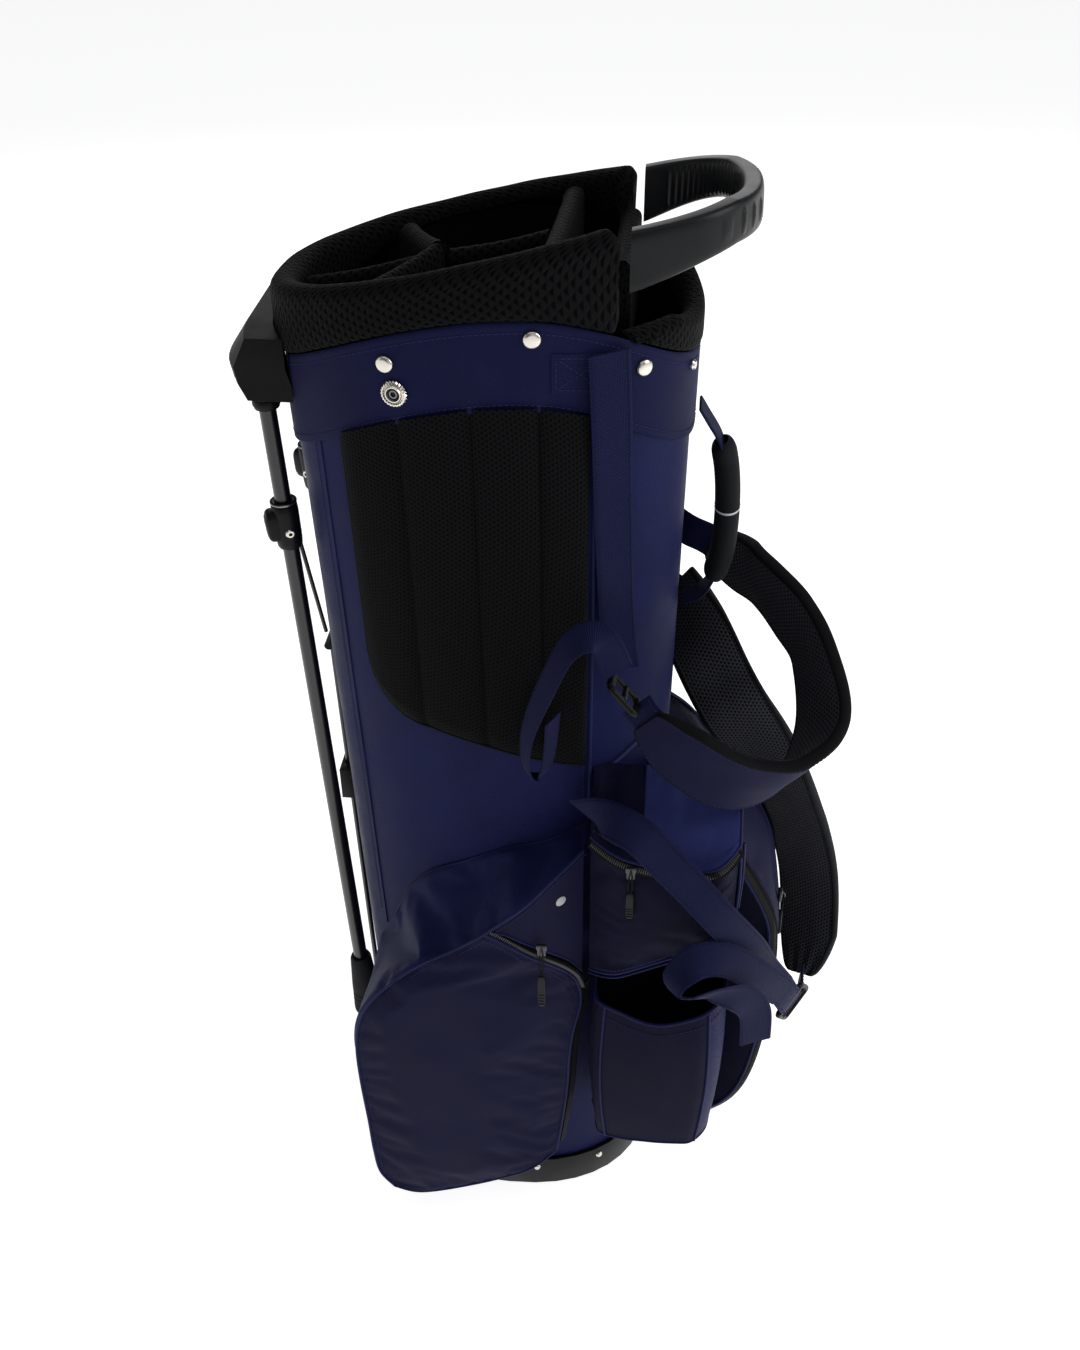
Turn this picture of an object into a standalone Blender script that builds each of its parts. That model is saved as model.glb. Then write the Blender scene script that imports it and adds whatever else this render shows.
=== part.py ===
"""Golf stand bag: oval club sleeve on a hinged base, padded five-way top, grab handles, two folding legs
driven by the foot plate, pockets and a dual shoulder strap.

Metres, +Z up. The origin is the middle of the flat underside. -X is the leg side, +X the handle side.
Seen from the leg side looking along +X, -Y is the right side and +Y the left side.
"""

import math

import bmesh
import bpy
from mathutils import Matrix, Vector

# Driving dimensions of the club sleeve
TOP_Z = 0.78
TOP_HALF_LENGTH = 0.134
TOP_HALF_WIDTH = 0.106
BASE_HALF_LENGTH = 0.117
BASE_HALF_WIDTH = 0.100
BASE_SHIFT = 0.009
OVAL_POWER = 2.3
SEGMENTS = 40
GAP = 0.0005
SLEEVE_WALL = 0.0020
SLEEVE_BOTTOM = 0.020

# Base and foot plate
CUP_HEIGHT = 0.034
CUP_WALL = 0.0030
CUP_FLOOR = 0.0100
BEVEL_LINE_X = -0.021
BEVEL_SLOPE = math.tan(math.radians(28.5))
PLATE_PIVOT = Vector((-0.035, 0.0, 0.0048))
PLATE_BARREL_RADIUS = 0.0036
PLATE_PIN_RADIUS = 0.0018
PLATE_HALF_BARREL = 0.052
PLATE_THICKNESS = 0.0040
PLATE_BOTTOM = 0.0006
TONGUE_END_X = -0.1290

# Collar band and padded top
BAND_PEAK_X = 0.03
BAND_TOP_PEAK = 0.844
BAND_BOTTOM_PEAK = 0.787
BAND_THICKNESS = 0.0024
CUFF_MID_Z = 0.850
CUFF_SLOPE = 0.233
CUFF_RISE = 0.013
CUFF_CROSS_SLOPE = 0.120
CUFF_WALL = 0.018
CUFF_GROW = 0.0055
CUFF_END_X = 0.092
WELL_RIM_HEIGHT = 0.024
WELL_RIM_LOW = 0.006
DIVIDER_WIDTH = 0.015
DIVIDER_DEPTH = 0.055
CHEVRON_X = -0.034
CHEVRON_SWEEP = 0.032
CROSS_X = 0.046
BRIDGE_X = 0.086
LINER_THICKNESS = 0.0016
LINER_BOTTOM = 0.070
LINER_TOP = 0.740

# Legs: hinge, clamp and foot of the right leg, mirrored for the left one
LEG_HINGE = Vector((-0.1465, -0.040, 0.7745))
LEG_FOOT = Vector((-0.1205, -0.047, 0.1580))
LEG_SPLAY = math.radians(25)
LEG_RADIUS = 0.0058
CLAMP_SHARE = 0.186
LEG_PIN_RADIUS = 0.0025
BAY_HALF_WIDTH = 0.0095
BAY_PROFILE = [
    (0.0108, 0.0105), (0.0108, -0.0450), (-0.0600, -0.0450), (-0.0600, 0.0010), (-0.0115, 0.0010),
    (-0.0115, 0.0105),
]
HOUSING_TOP = 0.806
HOUSING_BOTTOM = 0.762
ROD_RADIUS = 0.0022
ROD_LOW = Vector((-0.1195, 0.0, 0.0103))
ROD_HIGH = Vector((-0.1310, 0.0, 0.5350))
LINK_RADIUS = 0.0016
LINK_SHARE = 0.90
LINK_PIVOT = Vector((0.0050, -0.0090, -0.0205))

# Pockets
COOLER_FRONT_Y = -0.152
COOLER_SEAM_Y = -0.122
BALL_POCKET_X = 0.226
BALL_POCKET_NEAR_Y = -0.078
BALL_POCKET_FAR_Y = 0.034
VALUABLES_FRONT_Y = -0.136
ZIP_ARC_CENTRE = Vector((0.012, 0.0, 0.300))
ZIP_ARC_RADIUS = 0.077

# Straps
WEBBING_WIDTH = 0.027
WEBBING_THICKNESS = 0.0020
STRAP_WIDTH = 0.054
STRAP_THICKNESS = 0.011

NAVY = (0.018, 0.020, 0.075, 1)
BLACK_MESH = (0.012, 0.012, 0.014, 1)
BLACK_PLASTIC = (0.020, 0.021, 0.023, 1)
GREY_PLASTIC = (0.055, 0.060, 0.066, 1)
STEEL = (0.62, 0.60, 0.57, 1)
DARK_TUBE = (0.010, 0.009, 0.009, 1)


def clear_scene():
    for old in list(bpy.data.objects):
        bpy.data.objects.remove(old)


clear_scene()
parts = bpy.data.collections.new("golf_stand_bag")
cutters = bpy.data.collections.new("cutters")
bpy.context.scene.collection.children.link(parts)
bpy.context.scene.collection.children.link(cutters)


# ---------------------------------------------------------------- materials
def material(name, colour, roughness, metallic=0.0):
    made = bpy.data.materials.new(name)
    made.use_nodes = True
    shader = made.node_tree.nodes["Principled BSDF"]
    shader.inputs["Base Color"].default_value = colour
    shader.inputs["Roughness"].default_value = roughness
    shader.inputs["Metallic"].default_value = metallic
    return made


navy_fabric = material("navy_fabric", NAVY, 0.75)
black_mesh = material("black_mesh", BLACK_MESH, 0.9)
black_plastic = material("black_plastic", BLACK_PLASTIC, 0.45)
grey_plastic = material("grey_plastic", GREY_PLASTIC, 0.5)
steel = material("steel", STEEL, 0.25, 1.0)
dark_tube = material("dark_tube", DARK_TUBE, 0.3, 0.6)
foam = material("foam", BLACK_PLASTIC, 0.85)


# ---------------------------------------------------------------- helpers
def add(name, mesh, finish, collection=parts):
    made = bpy.data.objects.new(name, mesh)
    collection.objects.link(made)
    if finish is not None:
        mesh.materials.append(finish)
    return made


def mesh_of(name, points, faces):
    """A mesh from loft points, with its faces turned outwards."""
    mesh = bpy.data.meshes.new(name)
    mesh.from_pydata([tuple(p) for p in points], [], faces)
    work = bmesh.new()
    work.from_mesh(mesh)
    bmesh.ops.recalc_face_normals(work, faces=work.faces)
    work.to_mesh(mesh)
    work.free()
    mesh.shade_smooth()
    mesh.set_sharp_from_angle(angle=math.radians(40))
    return mesh


def box(name, size, centre, finish, collection=parts, turn=None):
    work = bmesh.new()
    bmesh.ops.create_cube(work, size=1.0)
    bmesh.ops.scale(work, vec=size, verts=work.verts)
    mesh = bpy.data.meshes.new(name)
    work.to_mesh(mesh)
    work.free()
    made = add(name, mesh, finish, collection)
    made.location = centre
    if turn is not None:
        made.rotation_euler = turn
    return made


def cylinder(name, radius, start, end, finish, collection=parts, sides=16, end_radius=None):
    """A rod or cone from start to end, placed and turned as one object."""
    axis = Vector(end) - Vector(start)
    work = bmesh.new()
    bmesh.ops.create_cone(
        work, cap_ends=True, segments=sides, radius1=radius,
        radius2=radius if end_radius is None else end_radius, depth=axis.length,
    )
    mesh = bpy.data.meshes.new(name)
    work.to_mesh(mesh)
    work.free()
    mesh.shade_smooth()
    mesh.set_sharp_from_angle(angle=math.radians(40))
    made = add(name, mesh, finish, collection)
    made.location = (Vector(start) + Vector(end)) / 2
    made.rotation_mode = "QUATERNION"
    made.rotation_quaternion = axis.to_track_quat("Z", "Y")
    return made


def ball(name, radius, centre, collection=parts):
    work = bmesh.new()
    bmesh.ops.create_uvsphere(work, u_segments=14, v_segments=9, radius=radius)
    mesh = bpy.data.meshes.new(name)
    work.to_mesh(mesh)
    work.free()
    made = add(name, mesh, None, collection)
    made.location = centre
    return made


def bevel(target, width, segments=2):
    modifier = target.modifiers.new("rounded_edges", "BEVEL")
    modifier.width = width
    modifier.segments = segments
    modifier.limit_method = "ANGLE"


def solidify(target, thickness, offset):
    modifier = target.modifiers.new("wall", "SOLIDIFY")
    modifier.thickness = thickness
    modifier.offset = offset
    modifier.use_even_offset = True


def boolean(target, other, operation):
    modifier = target.modifiers.new(operation.lower(), "BOOLEAN")
    modifier.operation = operation
    modifier.solver = "EXACT"
    modifier.object = other
    other.hide_render = True
    other.display_type = "WIRE"


def section(z, grow=0.0):
    """Centre x, half length and half width of the sleeve's outer oval at height z."""
    down = min(max((TOP_Z - z) / TOP_Z, 0.0), 1.0)
    half_length = TOP_HALF_LENGTH + down * (BASE_HALF_LENGTH - TOP_HALF_LENGTH)
    half_width = TOP_HALF_WIDTH + down * (BASE_HALF_WIDTH - TOP_HALF_WIDTH)
    return BASE_SHIFT * down, half_length + grow, half_width + grow


def oval_point(turn, z, grow=0.0):
    """The point of the sleeve's oval at angle turn from +X, at height z."""
    centre, half_length, half_width = section(z, grow)
    c, s = math.cos(turn), math.sin(turn)
    x = math.copysign(abs(c) ** (2 / OVAL_POWER), c)
    y = math.copysign(abs(s) ** (2 / OVAL_POWER), s)
    return Vector((centre + half_length * x, half_width * y, z))


def wall_band(turns, levels, grow, closed):
    """Open surface over the sleeve's oval. levels holds functions of x that give each row's height."""
    points, faces = [], []
    for level in levels:
        for turn in turns:
            x = oval_point(turn, TOP_Z).x
            points.append(oval_point(turn, level(x), grow))
    count = len(turns)
    for row in range(len(levels) - 1):
        for i in range(count if closed else count - 1):
            a, b = row * count + i, row * count + (i + 1) % count
            faces.append((a, b, b + count, a + count))
    return points, faces


def full_turns(count=SEGMENTS):
    return [2 * math.pi * i / count for i in range(count)]


def turn_at_x(x, z, grow=0.0):
    """The angle, between 0 and pi, where the oval reaches x."""
    low, high = 0.0, math.pi
    for _ in range(40):
        middle = (low + high) / 2
        if oval_point(middle, z, grow).x > x:
            low = middle
        else:
            high = middle
    return low


def smooth_path(stations, steps):
    """Catmull-Rom through (point, normal) stations: a list of point, tangent and normal."""
    points = [Vector(p) for p, _ in stations]
    normals = [Vector(n).normalized() for _, n in stations]
    found = []
    last = len(points) - 1
    for i in range(last):
        p0, p1, p2, p3 = (points[max(0, min(last, k))] for k in (i - 1, i, i + 1, i + 2))
        for step in range(steps + (i == last - 1)):
            t = step / steps
            place = 0.5 * (
                2 * p1 + (p2 - p0) * t + (2 * p0 - 5 * p1 + 4 * p2 - p3) * t * t
                + (3 * p1 - p0 - 3 * p2 + p3) * t ** 3
            )
            tangent = 0.5 * (
                (p2 - p0) + 2 * (2 * p0 - 5 * p1 + 4 * p2 - p3) * t + 3 * (3 * p1 - p0 - 3 * p2 + p3) * t * t
            )
            found.append((place, tangent.normalized(), normals[i].lerp(normals[i + 1], t).normalized()))
    return found


def prism(name, profile, low, high, along, finish, collection=parts):
    """A block with a profile in (horizontal, z), extruded along X or Y from low to high."""
    points = []
    for place in (low, high):
        points += [Vector((place, h, z)) if along == "X" else Vector((h, place, z)) for h, z in profile]
    count = len(profile)
    faces = [tuple(range(count)), tuple(count + i for i in range(count))]
    faces += [(i, (i + 1) % count, count + (i + 1) % count, count + i) for i in range(count)]
    return add(name, mesh_of(name, points, faces), finish, collection)


def strap(name, stations, width, thickness, finish, steps=5, rounded=False, collection=parts):
    """A flat band along the stations. Each station's normal is the band's face direction."""
    if rounded:
        profile = [
            (0.5, 0.22), (0.38, 0.5), (-0.38, 0.5), (-0.5, 0.22), (-0.5, -0.22), (-0.38, -0.5), (0.38, -0.5),
            (0.5, -0.22),
        ]
    else:
        profile = [(0.5, 0.5), (-0.5, 0.5), (-0.5, -0.5), (0.5, -0.5)]
    points, faces = [], []
    path = smooth_path(stations, steps)
    for place, tangent, normal in path:
        side = tangent.cross(normal).normalized()
        face = side.cross(tangent).normalized()
        points += [place + side * (u * width) + face * (v * thickness) for u, v in profile]
    count = len(profile)
    for row in range(len(path) - 1):
        for i in range(count):
            a, b = row * count + i, row * count + (i + 1) % count
            faces.append((a, b, b + count, a + count))
    faces.append(tuple(range(count)))
    faces.append(tuple((len(path) - 1) * count + i for i in range(count)))
    return add(name, mesh_of(name, points, faces), finish, collection)


def outline_block(name, outline, y_back, front_of, finish):
    """A block between the plane y_back and a front of depth front_of(x, z), over an outline of (x, z)."""
    back = [Vector((x, y_back, z)) for x, z in outline]
    front = [Vector((x, front_of(x, z), z)) for x, z in outline]
    count = len(outline)
    faces = [tuple(range(count)), tuple(range(count, 2 * count))]
    faces += [(i, (i + 1) % count, count + (i + 1) % count, count + i) for i in range(count)]
    return add(name, mesh_of(name, back + front, faces), finish)


def mirrored(point):
    return Vector((point[0], -point[1], point[2]))


# ---------------------------------------------------------------- edges of the sleeve and the collar
def base_line(x):
    """Height of the underside: flat under the bag, rising to the leg side over the foot plate."""
    return max(0.0, (BEVEL_LINE_X - x) * BEVEL_SLOPE)


def band_edge(peak, left_curve, right_curve):
    def height(x):
        return peak - (left_curve if x < BAND_PEAK_X else right_curve) * (x - BAND_PEAK_X) ** 2
    return height


band_top = band_edge(BAND_TOP_PEAK, 2.2, 4.7)
band_bottom = band_edge(BAND_BOTTOM_PEAK, 2.4, 5.0)


def cuff_top(x):
    return CUFF_MID_Z + CUFF_SLOPE * x


def cuff_lift(y):
    """Extra height of the cuff and all it carries: the padded top tilts up to the pad side."""
    return CUFF_RISE - CUFF_CROSS_SLOPE * y


# ---------------------------------------------------------------- sleeve, base and stays
def body_clearance():
    """Solid a little larger than the sleeve, the cup and the collar, cut from what is sewn against them."""
    rows = ((-0.02, 0.0044), (0.090, 0.0044), (0.092, 0.0012), (TOP_Z, 0.0012), (0.90, 0.0012))
    last = len(rows) - 1
    points = [oval_point(turn, z, grow) for z, grow in rows for turn in full_turns()]
    faces = [tuple(range(SEGMENTS)), tuple(last * SEGMENTS + i for i in range(SEGMENTS))]
    for row in range(last):
        for i in range(SEGMENTS):
            a, b = row * SEGMENTS + i, row * SEGMENTS + (i + 1) % SEGMENTS
            faces.append((a, b, b + SEGMENTS, a + SEGMENTS))
    return add("body_cutter", mesh_of("body_cutter", points, faces), None, cutters)


body_cutter = body_clearance()

sleeve_levels = [
    lambda x: base_line(x) + SLEEVE_BOTTOM,
    lambda x: 0.25,
    lambda x: 0.50,
    lambda x: band_top(x) - 0.006,
]
sleeve = add("sleeve", mesh_of("sleeve", *wall_band(full_turns(), sleeve_levels, 0.0, True)), navy_fabric)
solidify(sleeve, SLEEVE_WALL, -1)


def base_cup():
    """Cup under the sleeve: outer wall, inner wall and a floor, bent up over the foot plate."""
    turns = full_turns()
    outer_grow = GAP + CUP_WALL
    rows = []
    for grow, height in (
        (outer_grow, lambda x: base_line(x)),
        (outer_grow, lambda x: base_line(x) + CUP_HEIGHT),
        (GAP, lambda x: base_line(x) + CUP_HEIGHT),
        (GAP, lambda x: base_line(x) + CUP_FLOOR),
    ):
        row = []
        for turn in turns:
            row.append(oval_point(turn, height(oval_point(turn, 0.0).x), grow))
        rows.append(row)
    points = [p for row in rows for p in row]
    count = len(turns)
    faces = []
    for row in range(3):
        for i in range(count):
            a, b = row * count + i, row * count + (i + 1) % count
            faces.append((a, b, b + count, a + count))
    for first in (0, 3 * count):
        for i in range(count // 2):
            a, b = first + i, first + i + 1
            c, d = first + (count - i - 1) % count, first + (count - i) % count
            faces.append((a, b, c) if a == d else (a, b, d) if b == c else (a, b, c, d))
    return add("base_cup", mesh_of("base_cup", points, faces), black_plastic)


cup = base_cup()
pin_hole = cylinder(
    "pin_hole_cutter", PLATE_PIN_RADIUS + 0.0003, PLATE_PIVOT + Vector((0, -0.09, 0)),
    PLATE_PIVOT + Vector((0, 0.09, 0)), None, cutters,
)
for side in (-1, 1):
    lug = box(
        "pin_lug", (0.0135, 0.008, 0.013), (PLATE_PIVOT.x + 0.0025, side * 0.061, 0.0070), None, cutters,
    )
    lug.name = "pin_lug_left" if side > 0 else "pin_lug_right"
    boolean(cup, lug, "UNION")
groove = box(
    "barrel_groove", (0.0145, 2 * PLATE_HALF_BARREL + 0.0016, 0.030), (PLATE_PIVOT.x - 0.0015, 0, -0.0055),
    None, cutters,
)
boolean(cup, groove, "DIFFERENCE")
boolean(cup, pin_hole, "DIFFERENCE")


def foot_plate():
    """Lever under the leg side: flat plate with a hinge barrel along its inner edge."""
    turns = [t for t in full_turns(72) if oval_point(t, 0.0, 0.004).x < PLATE_PIVOT.x - 0.012]
    rim = [oval_point(t, 0.0, 0.004) for t in turns]
    top = PLATE_BOTTOM + PLATE_THICKNESS
    lower = [Vector((p.x, p.y, PLATE_BOTTOM)) for p in rim]
    upper = [Vector((p.x, p.y, top)) for p in rim]
    inner_x = PLATE_PIVOT.x
    edge_x = rim[0].x
    half = PLATE_HALF_BARREL
    corners = [(edge_x, -half), (inner_x, -half), (inner_x, half), (edge_x, half)]
    lower += [Vector((x, y, PLATE_BOTTOM + 0.0002)) for x, y in corners]
    upper += [Vector((x, y, top)) for x, y in corners]
    count = len(lower)
    faces = [tuple(range(count)), tuple(range(count, 2 * count))]
    faces += [(i, (i + 1) % count, count + (i + 1) % count, count + i) for i in range(count)]
    plate = add("foot_plate", mesh_of("foot_plate", lower + upper, faces), black_plastic)
    barrel = cylinder(
        "plate_barrel", PLATE_BARREL_RADIUS, PLATE_PIVOT - Vector((0, PLATE_HALF_BARREL, 0)),
        PLATE_PIVOT + Vector((0, PLATE_HALF_BARREL, 0)), None, cutters,
    )
    tongue_length = 0.031
    tongue = box(
        "plate_tongue", (tongue_length, 0.030, PLATE_THICKNESS - 0.0002),
        (TONGUE_END_X + tongue_length / 2, 0, PLATE_BOTTOM + PLATE_THICKNESS / 2), None, cutters,
    )
    boolean(plate, barrel, "UNION")
    boolean(plate, tongue, "UNION")
    boolean(plate, pin_hole, "DIFFERENCE")
    return plate


foot_plate()
cylinder(
    "foot_plate_pin", PLATE_PIN_RADIUS, PLATE_PIVOT - Vector((0, 0.0640, 0)),
    PLATE_PIVOT + Vector((0, 0.0640, 0)), steel, sides=12,
)

for label, degrees in (("spine", 0), ("left", 118), ("right", 242)):
    turn = math.radians(degrees)
    cylinder(
        f"stay_rod_{label}", 0.0030, oval_point(turn, 0.065, -0.0068), oval_point(turn, 0.714, -0.0068),
        steel, sides=10,
    )

# ---------------------------------------------------------------- collar band, cuff and dividers
band = add(
    "collar_band",
    mesh_of("collar_band", *wall_band(full_turns(), [band_bottom, band_top], GAP, True)),
    navy_fabric,
)
solidify(band, BAND_THICKNESS, 1)

frame_levels = [lambda x: band_bottom(x) - 0.010, lambda x: band_top(x) - 0.004]
cuff_frame = add(
    "cuff_frame",
    mesh_of("cuff_frame", *wall_band(full_turns(), frame_levels, -SLEEVE_WALL - 2 * GAP, True)),
    black_plastic,
)
solidify(cuff_frame, 0.0030, -1)

cuff_turn = turn_at_x(CUFF_END_X, TOP_Z, CUFF_GROW)
open_turns = [cuff_turn + (2 * math.pi - 2 * cuff_turn) * i / 34 for i in range(35)]


def well_rim_top(x):
    """The rim stays low under the handle's roots and rises to its full height past them."""
    share = min(max((x - CUFF_END_X - 0.004) / 0.026, 0.0), 1.0)
    return band_top(x) + WELL_RIM_LOW + (WELL_RIM_HEIGHT - WELL_RIM_LOW) * share


cuff_pad = add(
    "cuff_pad",
    mesh_of(
        "cuff_pad",
        *wall_band(open_turns, [lambda x: band_top(x) + 0.001, cuff_top], CUFF_GROW, False),
    ),
    black_mesh,
)
for vertex in cuff_pad.data.vertices:
    if vertex.co.z > band_top(vertex.co.x) + 0.010:
        vertex.co.z += cuff_lift(vertex.co.y)
solidify(cuff_pad, CUFF_WALL, -1)
bevel(cuff_pad, 0.006, 2)

well_turn = cuff_turn - math.radians(2.0)
well_turns = [-well_turn + 2 * well_turn * i / 12 for i in range(13)]
well_rim = add(
    "putter_well_rim",
    mesh_of(
        "putter_well_rim",
        *wall_band(
            well_turns, [lambda x: band_top(x) + 0.001, well_rim_top], CUFF_GROW - 0.001, False
        ),
    ),
    black_mesh,
)
solidify(well_rim, 0.014, -1)


def divider(name, start, end, top_drop=0.006):
    """Padded bar between two plan points, its top following the cuff's slope."""
    a, b = Vector((*start, 0)), Vector((*end, 0))
    along = (b - a).normalized()
    across = Vector((-along.y, along.x, 0)) * (DIVIDER_WIDTH / 2)
    points = []
    for drop in (top_drop + DIVIDER_DEPTH, top_drop + 0.004, top_drop):
        inset = across * (0.55 if drop == top_drop else 1.0)
        for place in (a - inset, b - inset, b + inset, a + inset):
            lift = cuff_lift(place.y) if drop < DIVIDER_DEPTH else 0.0
            points.append(Vector((place.x, place.y, cuff_top(place.x) - drop + lift)))
    faces = [(0, 1, 2, 3), (8, 9, 10, 11)]
    for row in (0, 4):
        faces += [(row + i, row + (i + 1) % 4, row + 4 + (i + 1) % 4, row + 4 + i) for i in range(4)]
    return add(name, mesh_of(name, points, faces), black_mesh)


def rim_y(x):
    """Half width of the cuff's inner face at x, with room for the bar's own width."""
    return oval_point(turn_at_x(x, TOP_Z, CUFF_GROW - CUFF_WALL), TOP_Z, CUFF_GROW - CUFF_WALL).y


half_bar = DIVIDER_WIDTH / 2
inner_end = TOP_HALF_LENGTH + CUFF_GROW - CUFF_WALL
divider("divider_long_rear", (-inner_end + 0.002, 0), (CHEVRON_X - half_bar * 1.7, 0), 0.012)
divider("divider_long_front", (CHEVRON_X + half_bar * 1.15, 0), (CROSS_X - half_bar - GAP, 0), 0.012)
for label, side in (("left", 1), ("right", -1)):
    far = (CHEVRON_X - CHEVRON_SWEEP, side * (rim_y(CHEVRON_X - CHEVRON_SWEEP - half_bar) - 0.004))
    divider(f"divider_chevron_{label}", (CHEVRON_X, side * (half_bar * 0.40 + GAP)), far)
divider("divider_cross", (CROSS_X, -rim_y(CROSS_X) + 0.003), (CROSS_X, rim_y(CROSS_X) - 0.003))
bridge_y = rim_y(BRIDGE_X + half_bar) - 0.001
divider("divider_bridge", (BRIDGE_X, -bridge_y), (BRIDGE_X, bridge_y), 0.024)


def liner(name, start, end, collection=cutters):
    """Full-length fabric divider panel below a padded bar."""
    a, b = Vector((*start, 0)), Vector((*end, 0))
    centre = (a + b) / 2
    size = ((b - a).length, LINER_THICKNESS, LINER_TOP - LINER_BOTTOM)
    place = (centre.x, centre.y, (LINER_TOP + LINER_BOTTOM) / 2)
    finish = navy_fabric if collection is parts else None
    return box(name, size, place, finish, collection, turn=(0, 0, math.atan2(b.y - a.y, b.x - a.x)))


liners = liner("divider_liners", (-0.098, 0), (CROSS_X, 0), parts)
for label, start, end in (
    ("cross", (CROSS_X, -0.078), (CROSS_X, 0.078)),
    ("chevron_left", (CHEVRON_X, 0), (CHEVRON_X - 0.028, 0.078)),
    ("chevron_right", (CHEVRON_X, 0), (CHEVRON_X - 0.028, -0.078)),
):
    boolean(liners, liner(f"liner_{label}", start, end), "UNION")


# ---------------------------------------------------------------- top handle
def top_handle():
    """Moulded loop from one end of the cuff round to the other, deeper at its roots."""
    profile = [
        (0.5, 0.36), (0.30, 0.5), (-0.30, 0.5), (-0.5, 0.36), (-0.5, -0.40), (-0.30, -0.5), (0.30, -0.5),
        (0.5, -0.40),
    ]
    points, faces = [], []
    steps = 26
    root_x = CUFF_END_X + 0.002
    reach = 0.163 - root_x
    half_gap = 0.0845
    for i in range(steps + 1):
        turn = math.pi * (i / steps - 0.5)
        c, s = math.cos(turn), math.sin(turn)
        x = root_x + reach * math.copysign(abs(c) ** 0.80, c)
        y = half_gap * math.copysign(abs(s) ** 0.86, s)
        height = 0.025 + 0.012 * (1 - c) ** 2
        width = 0.0135
        z = cuff_top(min(x, 0.15)) + cuff_lift(y) - 0.002 - height / 2
        out = Vector((c * half_gap, s * reach, 0)).normalized()
        if i in (0, steps):
            out = Vector((0, math.copysign(1, s), 0))
        points += [Vector((x, y, z)) + out * (u * width) + Vector((0, 0, v * height)) for u, v in profile]
    count = len(profile)
    for row in range(steps):
        for i in range(count):
            a, b = row * count + i, row * count + (i + 1) % count
            faces.append((a, b, b + count, a + count))
    faces += [tuple(range(count)), tuple(steps * count + i for i in range(count))]
    return add("top_handle", mesh_of("top_handle", points, faces), grey_plastic)


top_handle()

# ---------------------------------------------------------------- collar fasteners
def wall_seat(x, z, grow, side=-1):
    """Point on the sleeve's wall at x and z, grow outside it, and the wall's outward direction there."""
    turn = side * turn_at_x(x, z, grow)
    seat = oval_point(turn, z, grow)
    ahead, behind = oval_point(turn + 0.02, z, grow), oval_point(turn - 0.02, z, grow)
    along = (ahead - behind).normalized()
    return seat, Vector((along.y, -along.x, 0))


RIVET_RADIUS = 0.0056
COLLAR_FACE = GAP + BAND_THICKNESS + 0.0006
for label, x, drop in (("rear", -0.050, 0.0165), ("middle", 0.039, 0.010), ("front", 0.104, 0.0125)):
    seat, out = wall_seat(x, band_top(x) - drop, COLLAR_FACE)
    cylinder(
        f"rivet_{label}", RIVET_RADIUS, seat, seat + out * 0.0022, steel, sides=14,
        end_radius=RIVET_RADIUS * 0.8,
    )
eyelet_seat, eyelet_out = wall_seat(-0.045, 0.795, COLLAR_FACE)
eyelet = cylinder(
    "towel_eyelet", 0.0085, eyelet_seat, eyelet_seat + eyelet_out * 0.0030, steel, sides=18,
    end_radius=0.0072,
)
eyelet_hole = cylinder(
    "eyelet_hole_cutter", 0.0030, eyelet_seat + eyelet_out * 0.0010, eyelet_seat + eyelet_out * 0.0080,
    None, cutters,
)
boolean(eyelet, eyelet_hole, "DIFFERENCE")


# ---------------------------------------------------------------- leg housing, legs and linkage
def leg_housing():
    """Moulded bracket on the leg side, hollowed later for the two leg heads."""
    turns = [math.radians(180 + a) for a in range(-30, 31, 4)]
    beside_band = COLLAR_FACE
    beside_cuff = CUFF_GROW + 0.0008
    rows = []
    for z, grow, reach in (
        (HOUSING_BOTTOM, beside_band, 0.025), (0.773, beside_band, 0.032),
        (0.7855, beside_cuff, 0.034), (HOUSING_TOP, beside_cuff, 0.020),
    ):
        inner = [oval_point(t, TOP_Z, grow) for t in turns]
        half = abs(inner[0].y)
        fullness = [1 - 0.30 * (abs(p.y) / half) ** 4 for p in inner]
        outer = [Vector((-TOP_HALF_LENGTH - reach * full, p.y, z)) for p, full in zip(inner, fullness)]
        rows.append([Vector((p.x, p.y, z)) for p in inner] + list(reversed(outer)))
    count = len(rows[0])
    points = [p for row in rows for p in row]
    faces = [tuple(range(count)), tuple(3 * count + i for i in range(count))]
    for row in range(3):
        for i in range(count):
            a, b = row * count + i, row * count + (i + 1) % count
            faces.append((a, b, b + count, a + count))
    return add("leg_housing", mesh_of("leg_housing", points, faces), grey_plastic)


housing = leg_housing()


def splay_axis(side):
    """Hinge direction of a leg: side is -1 on the right, +1 on the left."""
    return Vector((side * math.sin(LEG_SPLAY), math.cos(LEG_SPLAY), 0))


def leg_point(side, share):
    """A point on the leg's centre line, share 0 at the hinge and 1 at the foot's end."""
    point = LEG_HINGE.lerp(LEG_FOOT, share)
    return point if side < 0 else mirrored(point)


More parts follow.
